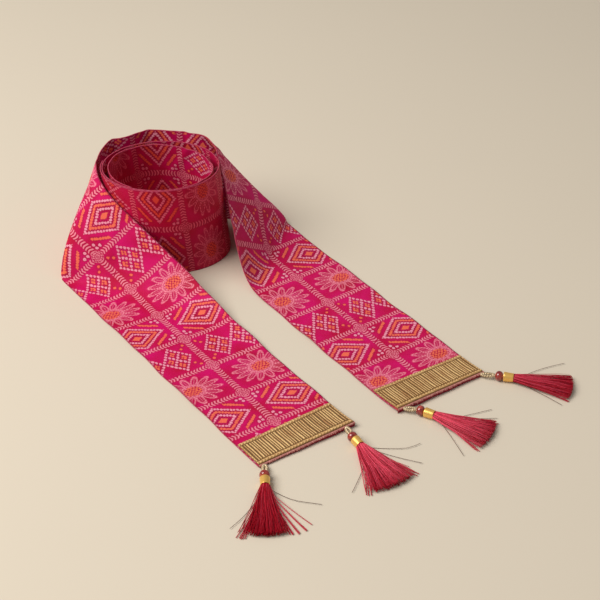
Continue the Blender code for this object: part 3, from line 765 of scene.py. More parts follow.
def fold_over(tail, s, w):
    """The strip's inner face: upright behind the fan, conical in it and flat beyond it."""
    angles, curve = crease_fan(tail)
    flat_angle = np.arctan2(s, w)
    reach = np.hypot(s, w)[:, None]
    crease = on_path(curve, angles, flat_angle)
    upright = -s[:, None] * direction(tail.wall) + w[:, None] * np.array(UP)
    flat = s[:, None] * table_direction(tail, 90.0) + w[:, None] * table_direction(tail, 0.0)
    laid = np.where((flat_angle < angles[0])[:, None], upright,
                    np.where((flat_angle > angles[-1])[:, None], flat, reach * crease))
    return laid + np.array((tail.apex_x, tail.apex_y, 0.0))


def end_of(tail, w):
    """How far along the strip its cut end lies at w."""
    return tail.length + tail.end_slant * np.asarray(w)


def pressed_in(tail, s, w):
    """How far the standing wall's upper part is pressed in towards the coil."""
    share = np.exp(-((s - tail.press_at) / PRESS_REACH) ** 2) * (w / WIDTH) ** 2
    return (tail.press * share)[:, None] * direction(tail.wall - tail.side * 90.0)


def billowed(tail, s, w):
    """How far the cloth bellies out above the apex."""
    reach = np.hypot(s, w) / tail.billow_reach
    off = (np.degrees(np.arctan2(s, w)) - tail.billow_angle) / tail.billow_spread
    share = reach * np.exp(1.0 - reach) * np.exp(-off ** 2)
    return (tail.billow * share)[:, None] * direction(tail.billow_heading)


def stood_up(tail, s, w):
    """How far the stiff fold holds the cloth up about the apex."""
    return tail.rise * np.exp(-(s ** 2 + (w - RISE_ACROSS) ** 2) / RISE_RADIUS ** 2)


def inner_face(tail, s, w):
    """The end's inner face, with the fold softened and the cut end lifted off the table."""
    s, w = np.asarray(s, float), np.asarray(w, float)
    shifts = np.linspace(-1.0, 1.0, SOFT_SAMPLES)
    weights = 1.0 + np.cos(shifts * math.pi)
    weights = (weights + 0.02) / (weights + 0.02).sum()
    laid = sum(weight * fold_over(tail, s + shift * SOFT_RADIUS, w)
               for shift, weight in zip(shifts, weights))
    rise = np.clip((s - end_of(tail, w) + LIFT_RUN) / LIFT_RUN, 0.0, None) ** 2
    lift = tail.lift_lower + (tail.lift_upper - tail.lift_lower) * w / WIDTH
    laid[:, 2] += lift * rise + stood_up(tail, s, w)
    return laid + pressed_in(tail, s, w) + billowed(tail, s, w)


def outward(tail, s, w, step=0.0002):
    """Unit normals of an end: away from the coil on the wall, up on the table."""
    along = inner_face(tail, s + step, w) - inner_face(tail, s - step, w)
    across = inner_face(tail, s, w + step) - inner_face(tail, s, w - step)
    return unit(tail.side * np.cross(along, across))


def seam_station(tail):
    """Where an end's wall joins the back turn."""
    return -(WIDTH / math.tan(math.radians(tail.leaves_wall)) + SEAM_MARGIN)


def smooth_through(values, at, where):
    """Catmull-Rom interpolation of values given at increasing stations."""
    values, at = np.asarray(values, float), np.asarray(at, float)
    where = np.asarray(where, float)
    slopes = np.gradient(values, at, axis=0)
    index = np.clip(np.searchsorted(at, where, side="right") - 1, 0, len(at) - 2)
    span = at[index + 1] - at[index]
    t = (where - at[index]) / span
    if values.ndim > 1:
        t, span = t[:, None], span[:, None]
    return ((2 * t ** 3 - 3 * t ** 2 + 1) * values[index]
            + (t ** 3 - 2 * t ** 2 + t) * span * slopes[index]
            + (3 * t ** 2 - 2 * t ** 3) * values[index + 1]
            + (t ** 3 - t ** 2) * span * slopes[index + 1])


def back_turn_path():
    """The outer turn's inner face, from the left wall round the back to the right wall."""
    ends = []
    for tail in TAILS:
        start = np.array((tail.apex_x, tail.apex_y))
        back = direction(tail.wall)[:2]
        seam = -seam_station(tail)
        ends.append([start + back * (seam + k * BACK_LEAD) for k in (0, 1)])
    points = np.array([*ends[0], *BACK_TURN, *reversed(ends[1])])
    at = travelled_along(points)
    return smooth_through(points, at, np.linspace(0.0, at[-1], 181))


def coil_path():
    """The coil's outer face, anticlockwise: angles in degrees and points."""
    angle = np.linspace(COIL_INSETS[0][0], COIL_INSETS[-1][0], 791)
    inset = smooth_through([row[1] for row in COIL_INSETS], [row[0] for row in COIL_INSETS], angle)
    turn = np.radians(angle)
    radius = 1.0 / np.hypot(np.cos(turn) / COIL_HALF_LENGTH, np.sin(turn) / COIL_HALF_DEPTH)
    reach = radius - inset
    return angle, np.column_stack((COIL_MIDDLE[0] + reach * np.cos(turn),
                                   COIL_MIDDLE[1] + reach * np.sin(turn)))


# ---------------------------------------------------------------- meshes

def laid_sheet(along, across, surface):
    """Cuts a grid flat over its stations, then lays it by surface(s, w) -> points, maps.

    The maps are UV maps by name, each with a pair of numbers a point.
    """
    bm = bmesh.new()
    cells = (len(along) - 1, len(across) - 1)
    bmesh.ops.create_grid(bm, x_segments=cells[0], y_segments=cells[1], size=1.0)
    verts = bm.verts[:]
    s = np.array([along[round((v.co.x + 1) / 2 * cells[0])] for v in verts])
    w = np.array([across[round((v.co.y + 1) / 2 * cells[1])] for v in verts])
    points, maps = surface(s, w)
    for vert, point in zip(verts, points):
        vert.co = point
    for label, values in maps.items():
        layer = bm.loops.layers.uv.new(label)
        bm.verts.index_update()
        for face in bm.faces:
            for loop in face.loops:
                loop[layer].uv = values[loop.vert.index]
    return bm


def shown(mesh, *materials):
    """The object of a mesh, at the origin, in materials by name."""
    mesh.shade_smooth()
    mesh.materials.clear()
    for material in materials:
        mesh.materials.append(bpy.data.materials[material])
    obj = bpy.data.objects.new(mesh.name, mesh)
    bpy.context.scene.collection.objects.link(obj)
    return obj


def finished(name, bm, *materials):
    """The object of a bmesh, at the origin, in materials by name."""
    mesh = bpy.data.meshes.new(name)
    bm.to_mesh(mesh)
    bm.free()
    return shown(mesh, *materials)


def make_shell(obj, thickness):
    """Gives a sheet its thickness about its middle, with its own edge material."""
    shell = obj.modifiers.new("thickness", "SOLIDIFY")
    shell.thickness = thickness
    shell.offset = 0.0
    shell.use_even_offset = True
    shell.material_offset_rim = 1
    shell.use_rim = True


def face_outwards(bm, towards, chosen=lambda point: True):
    """Turns a sheet over if its faces in the chosen place look away from towards."""
    bm.normal_update()
    score = sum(face.normal.dot(towards) for face in bm.faces
                if chosen(face.calc_center_median()))
    if score < 0:
        bmesh.ops.reverse_faces(bm, faces=bm.faces[:])


def edge_spaced(count):
    """Stations across the strip, close together at its edges."""
    near = EDGE_STEP * np.arange(3)
    inner = np.linspace(EDGE_STEP * 3, WIDTH - EDGE_STEP * 3, count)
    return np.concatenate((near, inner, WIDTH - near[::-1]))


def with_skip(stations, skip):
    """Stations with the two nearest to a skip in the print moved to either side of it."""
    low = np.searchsorted(stations, skip)
    stations[low - 1] = skip - SKIP_WIDTH / 2
    stations[low] = skip + SKIP_WIDTH / 2
    return stations


def edge_waver(tail, s, w):
    """How far a laid end's hems run out of true, across the strip."""
    laid = np.clip((s - 0.03) / 0.05, 0.0, 1.0)
    laid *= np.clip((end_of(tail, w) - 0.04 - s) / 0.03, 0.0, 1.0)
    wander = np.sin(s * 118.0 + tail.side + w * 30.0) * 0.6 + np.sin(s * 53.0 + w * 44.0) * 0.4
    return EDGE_WAVER * laid * wander * np.abs(2.0 * w / WIDTH - 1.0) ** 3


def tail_ripple(tail, s, w, amount):
    """Soft uneven ripples of a laid end, as a height over the table."""
    laid = np.clip((s - 0.035) / 0.06, 0.0, 1.0) ** 2
    # In millimetres, so a wave of the sines below is 2 pi times its divisor long.
    u, v = s * 1000.0, w * 1000.0
    phase = 0.6 if tail.side > 0 else 2.1
    wave = (np.sin(u / 11.5 + v / 34.0 + phase) * 0.5 + np.sin(u / 19.0 - v / 17.0 + 1.7) * 0.5)
    upper, lower = np.clip(v / 100.0, 0, 1) ** 3, np.clip(1 - v / 100.0, 0, 1) ** 3
    edge = (upper * (1 + np.sin(u / 15.0 + phase)) + lower * (1 + np.sin(u / 18.5 + 1.1))) / 2
    still = np.clip((end_of(tail, w) - s) / 0.05, 0.25, 1.0)
    return amount * laid * still * (0.28 * (1 + wave) + 0.75 * edge)


def rippled_face(tail, s, w, ripple, waver=0.0):
    """An end's inner face with its ripples, and with w moved by a waver."""
    points = inner_face(tail, s, w + waver)
    points[:, 2] += tail_ripple(tail, s, w, ripple)
    return points


# Soft creases: where each meets the cloth's upper edge along its run, how far it leans along
# the run for its way down, half its width, how far it stands out (or in, if less than nothing)
# and how far down it fades.
Crease = namedtuple("Crease", "at lean width depth reach")
BACK_CREASES = (
    Crease(0.0430, -0.10, 0.0040, 0.0014, 0.060), Crease(0.0810, 0.12, 0.0034, 0.0012, 0.050),
    Crease(0.0200, 0.05, 0.0060, -0.0007, 0.070), Crease(0.0640, 0.20, 0.0060, -0.0006, 0.060))
LEFT_CREASES = (
    Crease(-0.0740, 0.30, 0.0045, 0.0008, 0.080), Crease(-0.0380, 0.45, 0.0050, -0.0007, 0.090),
    Crease(-0.0080, 0.60, 0.0060, 0.0008, 0.100), Crease(0.0300, -0.35, 0.0070, 0.0007, 0.080),
    Crease(0.1350, 0.25, 0.0110, 0.0006, 0.090), Crease(0.2120, -0.30, 0.0120, 0.0006, 0.100))
RIGHT_CREASES = (
    Crease(-0.0660, -0.40, 0.0045, 0.0009, 0.060), Crease(-0.0420, 0.35, 0.0050, -0.0007, 0.080),
    Crease(0.0180, -0.45, 0.0065, 0.0007, 0.090), Crease(0.0900, 0.30, 0.0100, 0.0006, 0.100),
    Crease(0.1800, -0.25, 0.0120, 0.0006, 0.090))
COIL_CREASES = (
    Crease(0.0480, -0.15, 0.0060, 0.0004, 0.080), Crease(0.1320, 0.10, 0.0070, 0.0004, 0.070),
    Crease(0.2050, -0.12, 0.0060, 0.0004, 0.090), Crease(0.3000, 0.20, 0.0060, 0.0004, 0.080),
    Crease(0.5718, 0.72, 0.0034, 0.0013, 0.045), Crease(0.6060, -0.25, 0.0050, -0.0007, 0.060),
    Crease(0.6330, 0.20, 0.0046, 0.0012, 0.070), Crease(0.6560, 0.10, 0.0050, -0.0006, 0.090),
    Crease(0.5380, -0.30, 0.0050, 0.0010, 0.060), Crease(0.4960, 0.20, 0.0060, 0.0009, 0.090))

# Where along each run of cloth the print's cell lines fall, with the number of each line.
PRINT_LEFT = ((-0.1193, 5.52), (-0.0384, 3.98), (0.0112, 3.0), (0.0610, 2.0), (0.1100, 1.0),
              (0.1585, 0.0), (0.2078, -1.0), (0.2577, -2.0), (0.3070, -3.0), (0.3563, -4.0))
PRINT_RIGHT = ((-0.1016, 7.27), (-0.0640, 8.0), (-0.0143, 9.0), (0.0312, 10.0), (0.0880, 11.0),
               (0.1417, 12.0), (0.1940, 13.0), (0.2440, 14.0), (0.2940, 15.0), (0.3440, 16.0))
# The print of each end: its creases, its cell lines along the run, the height of its middle cell
# line and how far the cells lean along the run.
EndPrint = namedtuple("EndPrint", "creases lines middle skew")
END_PRINTS = {"left": EndPrint(LEFT_CREASES, PRINT_LEFT, 0.0455, 0.055),
              "right": EndPrint(RIGHT_CREASES, PRINT_RIGHT, 0.0502, 0.0)}
# The back turn's cells, and the cell line where the motifs' order has one out of turn.
LEFT_END_CELL, BACK_CELLS = 5.52, 1.75
SKIP_LINE, SKIPPED_CELLS = 7.0, 1.0
SKIP_WIDTH = 0.00002


def creased(creases, along, w):
    """How far the creases stand out from the cloth at each place."""
    down = WIDTH - w
    out = np.zeros(len(w))
    for crease in creases:
        off = (along - crease.at - crease.lean * down) / crease.width
        out += crease.depth * np.exp(-off ** 2 - (down / crease.reach) ** 2)
    return out


def laid_end(tail, s, w, ripple):
    """An end's inner face, its normals, how its creases stand out, and its print's place."""
    look = END_PRINTS[tail.name]
    points = rippled_face(tail, s, w, ripple, edge_waver(tail, s, w))
    # The lean of the cells fades out along the standing wall.
    fade = np.clip((s + 0.12) / 0.1, 0.0, 1.0)
    cells = np.interp(s - look.skew * fade * (w - look.middle), *np.array(look.lines).T)
    return points, outward(tail, s, w), creased(look.creases, s, w), cells, look.middle


def back_wall(back, at, run, w):
    """The same of the wall behind the coil, which stands on its plan and joins the two ends."""
    left, right = TAILS
    slope = unit(on_path(np.gradient(back, at, axis=0), at, run))
    points = np.column_stack((on_path(back, at, run), w))
    points += pressed_in(left, seam_station(left) - run, w)
    points += pressed_in(right, seam_station(right) - (at[-1] - run), w)
    normal = np.column_stack((-slope[:, 1], slope[:, 0], np.zeros(len(run))))
    share = run / at[-1]
    low, high = (END_PRINTS[tail.name].middle for tail in TAILS)
    return (points, normal, creased(BACK_CREASES, run, w), LEFT_END_CELL + share * BACK_CELLS,
            low + share * (high - low))


def cloth_maps(cells, line, u, w, dye):
    """The maps of a printed sheet: its place in the print, on the flat cloth and in the painted
    shade.
    """
    return {"print": np.column_stack((cells, (w - line) / CELL_DEPTH)),
            "cloth": np.column_stack((u, w)), "dye": np.column_stack((dye, w))}


class StoleRingBuilder(bpy.types.Operator):
    """Lay the outer turn: both ends and the wall behind the coil, as one printed strip"""

    bl_idname = "stole.make_ring"
    bl_label = "Outer turn and ends"

    def execute(self, context):
        settings = context.scene.stole_cloth
        left, right = TAILS
        back = back_turn_path()
        back_at = travelled_along(back)
        left_run = left.length - seam_station(left)
        right_start = left_run + back_at[-1]
        total = right_start + (right.length - seam_station(right))
        skip = left_run + (SKIP_LINE - LEFT_END_CELL) / BACK_CELLS * back_at[-1]
        along = with_skip(np.linspace(0.0, total, round(total / settings.cell) + 1), skip)

        def surface(u, w):
            """The strip's points and maps, with u along it from the left end."""
            points, normal = np.zeros((2, len(u), 3))
            crease, cells, line = np.zeros((3, len(u)))
            on_left, on_right = u < left_run, u > right_start
            starts = ((left, on_left, left.length - u),
                      (right, on_right, u - left_run - back_at[-1] + seam_station(right)))
            for tail, where, s in starts:
                slanting = np.clip((s - SLANTS_FROM) / (tail.length - SLANTS_FROM), 0.0, 1.0)
                place = (s + slanting * tail.end_slant * w)[where]
                (points[where], normal[where], crease[where], cells[where],
                 line[where]) = laid_end(tail, place, w[where], settings.ripple)
            behind = ~on_left & ~on_right
            (points[behind], normal[behind], crease[behind], cells[behind],
             line[behind]) = back_wall(back, back_at, u[behind] - left_run, w[behind])
            cells[u > skip] -= SKIPPED_CELLS
            points += normal * (CLOTH_ROOM / 2 + crease)[:, None]
            return points + COIL_MIDDLE_AT, cloth_maps(cells, line, u, w, np.zeros(len(u)))

        bm = laid_sheet(along, edge_spaced(40), surface)
        face_outwards(bm, UP, lambda point: point[2] < 0.02 and point[1] < 0.0)
        cloth = finished("ring_cloth", bm, "printed_silk", "hem_silk")
        make_shell(cloth, settings.thickness)
        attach(cloth, "root")
        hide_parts("stole_tail_left", "stole_back_turn", "stole_tail_right")
        return {"FINISHED"}


# Angles of the coil at which the middle of a cell of nested squares stands: on the outer turn's
# front and on the inner turn's back. Between them the print skips one cell and is eased a little.
COIL_FRONT_SQUARES = -91.3
COIL_BACK_SQUARES = 459.9
COIL_CELLS_BETWEEN = 9.0
COIL_EASED = (10.0, 384.0)
COIL_SKIP_NEAR = 230.0
COIL_FRONT_LINE, COIL_BACK_LINE = 0.0543, 0.0660
# How much the coil is darkened by painted shade, which stands in for the shade on its front
# and inner walls, by the coil's angle.
COIL_PAINTED_SHADE = ((-190.0, 0.9), (10.0, 1.0), (60.0, 0.4), (360.0, 0.0), (415.0, 0.1), (455.0, 0.7),
            (490.0, 1.0), (600.0, 1.0))


class StoleCoilBuilder(bpy.types.Operator):
    """Wind the standing coil of two turns from one printed strip"""

    bl_idname = "stole.make_coil"
    bl_label = "Coil"

    def execute(self, context):
        settings = context.scene.stole_cloth
        angles, path = coil_path()
        at = travelled_along(path)
        slope = unit(np.gradient(path, at, axis=0))
        front, rear, near, *eased = np.interp(
            (COIL_FRONT_SQUARES, COIL_BACK_SQUARES, COIL_SKIP_NEAR, *COIL_EASED), angles, at)
        last = COIL_CELLS_BETWEEN + SKIPPED_CELLS + 0.5 - (rear - eased[1]) / CELL
        numbers = (0.5 - front / CELL, 0.5 + (eased[0] - front) / CELL, last,
                   last + (at[-1] - eased[1]) / CELL)
        stations = (0.0, *eased, at[-1])
        skip = np.interp(round(np.interp(near, stations, numbers)), numbers, stations)
        along = with_skip(np.linspace(0.0, at[-1], round(at[-1] / settings.cell) + 1), skip)

        def surface(u, w):
            """The coil's points and maps, with u along it from its outer end."""
            tangent = on_path(slope, at, u)
            left = np.column_stack((-tangent[:, 1], tangent[:, 0]))
            waver = (np.sin(u * 210.0 + w * 13.0) * 0.6 + np.sin(u * 121.0 - w * 21.0 + 1.3) * 0.4)
            plan = on_path(path, at, u)
            plan += left * (CLOTH_ROOM / 2 + settings.flute * waver * 0.5)[:, None]
            plan += left * creased(COIL_CREASES, u, w)[:, None]
            plan += (1.0 - w / WIDTH)[:, None] * np.asarray(COIL_FOOT_SHIFT)
            share = np.clip((u - front) / (rear - front), 0.0, 1.0)
            line = COIL_FRONT_LINE + (COIL_BACK_LINE - COIL_FRONT_LINE) * share
            # Painted shade, deepest on the coil's front and inner walls.
            dye = np.interp(np.interp(u, at, angles), *np.array(COIL_PAINTED_SHADE).T)
            cells = np.interp(u, stations, numbers) - SKIPPED_CELLS * (u > skip)
            return np.column_stack((plan, w)) + COIL_MIDDLE_AT, cloth_maps(cells, line, u, w, dye)

        bm = laid_sheet(along, edge_spaced(34), surface)
        cloth = finished("coil_cloth", bm, "printed_silk", "hem_silk")
        make_shell(cloth, settings.thickness)
        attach(cloth, "root")
        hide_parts("coil_outer_turn", "coil_inner_turn")
        return {"FINISHED"}


def plaited(distance, along, half):
    """Relief of a plaited braid, as wide as twice half, at a distance in from its outer side."""
    off = (distance - half) / half
    plait = np.abs(np.sin(math.pi * (along / PLAIT_PITCH + np.abs(off) * 0.7)))
    return np.sqrt(np.clip(1 - off ** 2, 0, 1)) * (0.42 + 0.50 * plait)


def band_relief(s, w, ribs):
    """Relief of the lace from 0 to 1: braids all round it and uneven twisted ribs between."""
    from_end = np.minimum(s, BAND_DEPTH - s) + 0.00022 * np.sin(w * 340) * np.sin(w * 127 + 1)
    from_side = np.minimum(w - BAND_SIDE_MARGIN, WIDTH - BAND_SIDE_MARGIN - w)
    sway = 0.05 * np.sin(s * 260 + w * 57) + 0.09 * np.sin(w * 433) + 0.10 * np.sin(w * 911 + s * 40)
    across = (w - BAND_SIDE_MARGIN) / (WIDTH - 2 * BAND_SIDE_MARGIN) * ribs + sway
    number = np.floor(across)
    # A share from 0 to 1 that is the same all along a rib and looks random from rib to rib.
    chance = np.modf(np.abs(np.sin(number * 12.9898) * 43758.5453))[0]
    rib = np.clip((np.abs(np.sin(across * math.pi)) - 0.38 - 0.22 * chance) / 0.44, 0, 1)
    strand = 0.5 + 0.5 * np.sin(2 * math.pi * (s / RIB_TWIST + across * 0.5))
    value = rib * (0.90 + 0.10 * strand) * (0.92 + 0.08 * np.sin(number * 2.4 + s * 120))
    in_groove = (from_end < 2 * BRAID_HALF + GROOVE) | (from_side < 2 * SIDE_BRAID_HALF + GROOVE)
    value = np.where(in_groove, value * 0.12, value)
    side_braid = plaited(from_side, s, SIDE_BRAID_HALF)
    value = np.where(from_side < 2 * SIDE_BRAID_HALF, side_braid, value)
    return np.where(from_end < 2 * BRAID_HALF, plaited(from_end, w, BRAID_HALF), value)


class StoleBandBuilder(bpy.types.Operator):
    """Weave the ribbed gold band across each end of the stole"""

    bl_idname = "stole.make_bands"
    bl_label = "Gold bands"

    def execute(self, context):
        settings = context.scene.stole_band
        ripple = context.scene.stole_cloth.ripple
        for tail in TAILS:
            self.weave_band(tail, settings, ripple)
            self.roll_hem(tail, ripple)
        length = sum(tail.length - seam_station(tail) for tail in TAILS)
        length += float(travelled_along(back_turn_path())[-1])
        return {"FINISHED"}

    def weave_band(self, tail, settings, ripple):
        """Weaves a band with its relief, and tells the material how high each point stands."""
        low, high = BAND_SIDE_MARGIN, WIDTH - BAND_SIDE_MARGIN
        rise = []

        def surface(s, w):
            """The band's points and map, with s up from the cut end."""
            depth = s * (1.0 + BAND_SPLAY * w / BAND_DEPTH)
            station = end_of(tail, w) - BAND_END_MARGIN - depth
            relief = band_relief(s, w, settings.ribs)
            rim = (s < TINY) | (s > BAND_DEPTH - TINY) | (w < low + TINY) | (w > high - TINY)
            height = CLOTH_ROOM + GAP + BAND_BASE + settings.rib_height * relief
            height = np.where(rim, CLOTH_ROOM + GAP * 0.5, height)
            points = rippled_face(tail, station, w, ripple)
            points += height[:, None] * outward(tail, station, w)
            # The material paints shade where this is low and a highlight where it is high; the rim
            # is given a low value.
            rise.extend(np.where(rim, 0.3, relief))
            return points + COIL_MIDDLE_AT, {"cloth": np.column_stack((depth, w))}

        bm = laid_sheet(np.linspace(0.0, BAND_DEPTH, 96), np.linspace(low, high, 481), surface)
        layer = bm.verts.layers.float.new("relief")
        for vert, value in zip(bm.verts, rise):
            vert[layer] = value
        face_outwards(bm, UP)
        band = finished(f"lace_{tail.name}", bm, "woven_gold")
        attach(band, "root")
        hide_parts(f"band_{tail.name}")
        return band

    def roll_hem(self, tail, ripple):
        """Rolls the cloth's cut end under, with small thread loops on top and a flap of painted
        shade.
        """
        ahead = direction(tail.heading)
        along = np.concatenate((np.linspace(0.0, END_HEM_TOP, 12),
                                np.linspace(0.0018, END_HEM_DEPTH, 8)))

        def surface(run, w):
            """The hem's points and map, with run over its top and down its flap."""
            end = end_of(tail, w)
            top = rippled_face(tail, end, w, ripple)
            loops = 1.0 + 0.7 * np.sin(w * 2650.0 + 1.2 * np.sin(w * 410.0))
            loops += 0.6 * np.sin(w * 1130.0 + 0.8) + 0.4 * np.sin(w * 517.0)
            loops *= 1.0 + 0.5 * np.sin(w * 173.0 + 0.5)
            on_top = np.clip(run / END_HEM_TOP, 0.0, 1.0)
            hang = np.clip((run - END_HEM_TOP) / (END_HEM_DEPTH - END_HEM_TOP), 0.0, 1.0)
            rise = np.clip(loops, 0.0, None) * np.sin(math.pi * on_top * 0.8)
            radius = ROLL_RADIUS + LOOP_RISE * rise
            turn = on_top * math.pi * 0.62
            out = radius * np.sin(turn) - 0.0003 * np.minimum(hang * 6.0, 1.0) - 0.0004 * hang
            out += 0.0003 * hang * np.sin(w * 190.0)
            points = top + ahead * (out - 0.0004)[:, None]
            under = top[:, 2] + CLOTH_ROOM + 0.0004 - radius * (1.0 - np.cos(turn))
            # The flap hangs down nearly to the table, a dark sheet that stands in for the shade
            # under the lifted end.
            points[:, 2] = under - np.maximum(under - HEM_OFF_TABLE, 0.0) * hang
            return points + COIL_MIDDLE_AT, {"cloth": np.column_stack((run, w))}

        across = np.linspace(HEM_SIDE_MARGIN, WIDTH - HEM_SIDE_MARGIN, 401)
        bm = laid_sheet(along, across, surface)
        face_outwards(bm, Vector(direction(tail.heading, 20.0)))
        hem = finished(f"hem_{tail.name}", bm, "end_hem_and_painted_shade")
        make_shell(hem, HEM_THICKNESS)
        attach(hem, "root")
        return hem


# ---------------------------------------------------------------- tassels

def tassel_frames(tassel):
    """Where a tassel's parts start: its loop's corner, bead, cap and skirt, and its heading."""
    tail = next(t for t in TAILS if t.name == tassel.tail)
    edge = inner_face(tail, [end_of(tail, tassel.across)], [tassel.across])[0]
    corner = Vector(edge) + Vector((0.0, 0.0, CLOTH_ROOM / 2)) + Vector(COIL_MIDDLE_AT)
    ahead = Vector(direction(tassel.heading))
    cap_start = Vector((tassel.cap_x, tassel.cap_y, AXIS_HEIGHT)) + Vector(COIL_MIDDLE_AT)
    bead_start = cap_start - ahead * (BEAD_LENGTH + GAP)
    return corner, bead_start, cap_start, cap_start + ahead * CAP_LENGTH, ahead


def lying_matrix(start, ahead):
    """Turns +Z along ahead and moves the origin to start."""
    side = UP.cross(ahead).normalized()
    turn = Matrix((side, ahead.cross(side), ahead)).transposed().to_4x4()
    return Matrix.Translation(start) @ turn


def spun(profile, steps, start, ahead):
    """A bmesh of a profile of (radius, height) spun about ahead from start."""
    bm = bmesh.new()
    verts = [bm.verts.new((radius, 0.0, height)) for radius, height in profile]
    edges = [bm.edges.new(pair) for pair in zip(verts, verts[1:])]
    bmesh.ops.spin(bm, geom=verts + edges, cent=(0, 0, 0), axis=(0, 0, 1),
                   angle=2 * math.pi, steps=steps, use_merge=True)
    bmesh.ops.remove_doubles(bm, verts=bm.verts[:], dist=TINY)
    bmesh.ops.recalc_face_normals(bm, faces=bm.faces[:])
    bmesh.ops.transform(bm, matrix=lying_matrix(start, ahead), verts=bm.verts[:])
    return bm


def cords(name, runs, material, sides, closed=False):
    """A mesh of round strands: each run is its points and their radii."""
    curve = bpy.data.curves.new(name, "CURVE")
    curve.dimensions = "3D"
    curve.bevel_depth = 1.0
    curve.bevel_resolution = sides
    curve.use_fill_caps = True
    for points, radii in runs:
        spline = curve.splines.new("POLY")
        spline.points.add(len(points) - 1)
        spline.use_cyclic_u = closed
        for place, point, radius in zip(spline.points, points, radii):
            place.co = (*point, 1.0)
            place.radius = radius
    holder = bpy.data.objects.new(name + "_lines", curve)
    bpy.context.scene.collection.objects.link(holder)
    graph = bpy.context.evaluated_depsgraph_get()
    mesh = bpy.data.meshes.new_from_object(holder.evaluated_get(graph))
    bpy.data.objects.remove(holder, do_unlink=True)
    mesh.name = name
    return shown(mesh, material)


def twisted_ring(middle, along, across, half_length, half_width):
    """Two strands twisted about an oval."""
    normal = along.cross(across).normalized()
    runs = []
    for strand in range(2):
        points = []
        for k in range(LOOP_POINTS):
            angle = 2 * math.pi * k / LOOP_POINTS
            centre = middle + along * half_length * math.cos(angle)
            centre += across * half_width * math.sin(angle)
            out = (along * math.cos(angle) * half_width
                   + across * math.sin(angle) * half_length).normalized()
            twist = angle * LOOP_TWISTS + math.pi * strand
            round_it = out * math.cos(twist) + normal * math.sin(twist)
            points.append(centre + round_it * LOOP_STRAND_OFF)
        runs.append((points, [LOOP_STRAND_RADIUS] * len(points)))
    return runs


def skirt_point(start, ahead, along, left, height):
    """A point of a skirt, so far along its axis, to the left of it and over the table."""
    point = start + ahead * along + UP.cross(ahead).normalized() * left
    point.z = height
    return point


def silk_strand(tassel, look, start, ahead, chance, radius):
    """A strand of the skirt: its points and radii, and how light it is at each point."""
    neck = CAP_MOUTH - 0.0006
    shares = np.linspace(0.0, 1.0, SKIRT_POINTS)
    # Where the strand leaves the cap: u to its left and v up, inside a circle of 1.
    from_middle = math.sqrt(chance.random())
    turn = chance.uniform(0.0, 2 * math.pi)
    u, v = from_middle * math.cos(turn), from_middle * math.sin(turn)
    straying = chance.random() < look.astray
    length = tassel.skirt_length * (1.0 - abs(chance.gauss(0.0, 0.03 + 0.05 * straying)))
    spread = math.copysign(abs(u) ** 1.05, u) * (1.0 - 0.10 * v) * (1.0 if straying else look.core)
    end_y = tassel.half_spread * spread + chance.gauss(0.0, 0.0009)
    end_z = TIP_LOWEST + (v + 1) / 2 * PILE_HEIGHT * (1.0 - 0.7 * straying)
    end_z += chance.uniform(0.0, TIP_LOWEST)
    reach = math.sqrt(max(length ** 2 - end_y ** 2, 1e-6))
    bend = chance.gauss(0.0, STRAND_BEND)
    points = []
    for share in shares:
        off = neck * u * (1 - share) + end_y * share ** 1.12
        off += bend * math.sin(math.pi * share) + math.sin(share * 9 + turn) * STRAND_WAVE
        height = end_z + (AXIS_HEIGHT + neck * v * 0.9 - end_z) * (1.0 - share) ** SKIRT_FALL
        along = (reach + IN_CAP) * share - IN_CAP
        points.append(skirt_point(start, ahead, along, off, max(height, 0.0004)))
    radii = radius * (1.7 if straying else 1.0) * (1.0 - 0.25 * shares)
    # Painted highlight and shade: strands lie in locks, which are lighter or darker together as
    # their sheen catches the light, upper strands and strays are painted lighter, and the tips are
    # darkened as painted shade.
    lock = math.sin(u * 19.0 + v * 3.0) + math.sin(u * 43.0 + v * 9.0 + 1.0)
    tint = look.tint + 0.25 * v + look.streaks * lock + chance.gauss(0.0, 0.20)
    tint += 0.30 * straying
    return points, radii, np.clip(tint * (1.0 - 0.80 * shares ** 3), 0.0, 1.0)


def loose_thread(path, start, ahead, radius):
    """A dark thread that has come loose and lies on the table, as silk_strand gives it."""
    corners = np.array(((-IN_CAP, 0.0, AXIS_HEIGHT), (0.0, 0.0, AXIS_HEIGHT),
                        *((along, left, 0.0012) for along, left in path)))
    at = travelled_along(corners)
    rows = smooth_through(corners, at, np.linspace(0.0, at[-1], SKIRT_POINTS))
    points = [skirt_point(start, ahead, along, left, max(height, 0.0005))
              for along, left, height in rows]
    return points, np.full(SKIRT_POINTS, radius * 1.1), np.full(SKIRT_POINTS, -1.0)


def combed_strand(tip, left, start, ahead, radius):
    """A few threads combed aside together, as silk_strand gives them."""
    shares = np.linspace(0.0, 1.0, SKIRT_POINTS)
    points = [skirt_point(start, ahead, tip * share, left * share ** 1.15,
                          0.0010 + (AXIS_HEIGHT - 0.0010) * (1.0 - share) ** SKIRT_FALL)
              for share in shares]
    # Painted shade: the combed threads darken towards their tips.
    return points, radius * (1.2 + 0.9 * shares), 0.50 - 0.30 * shares


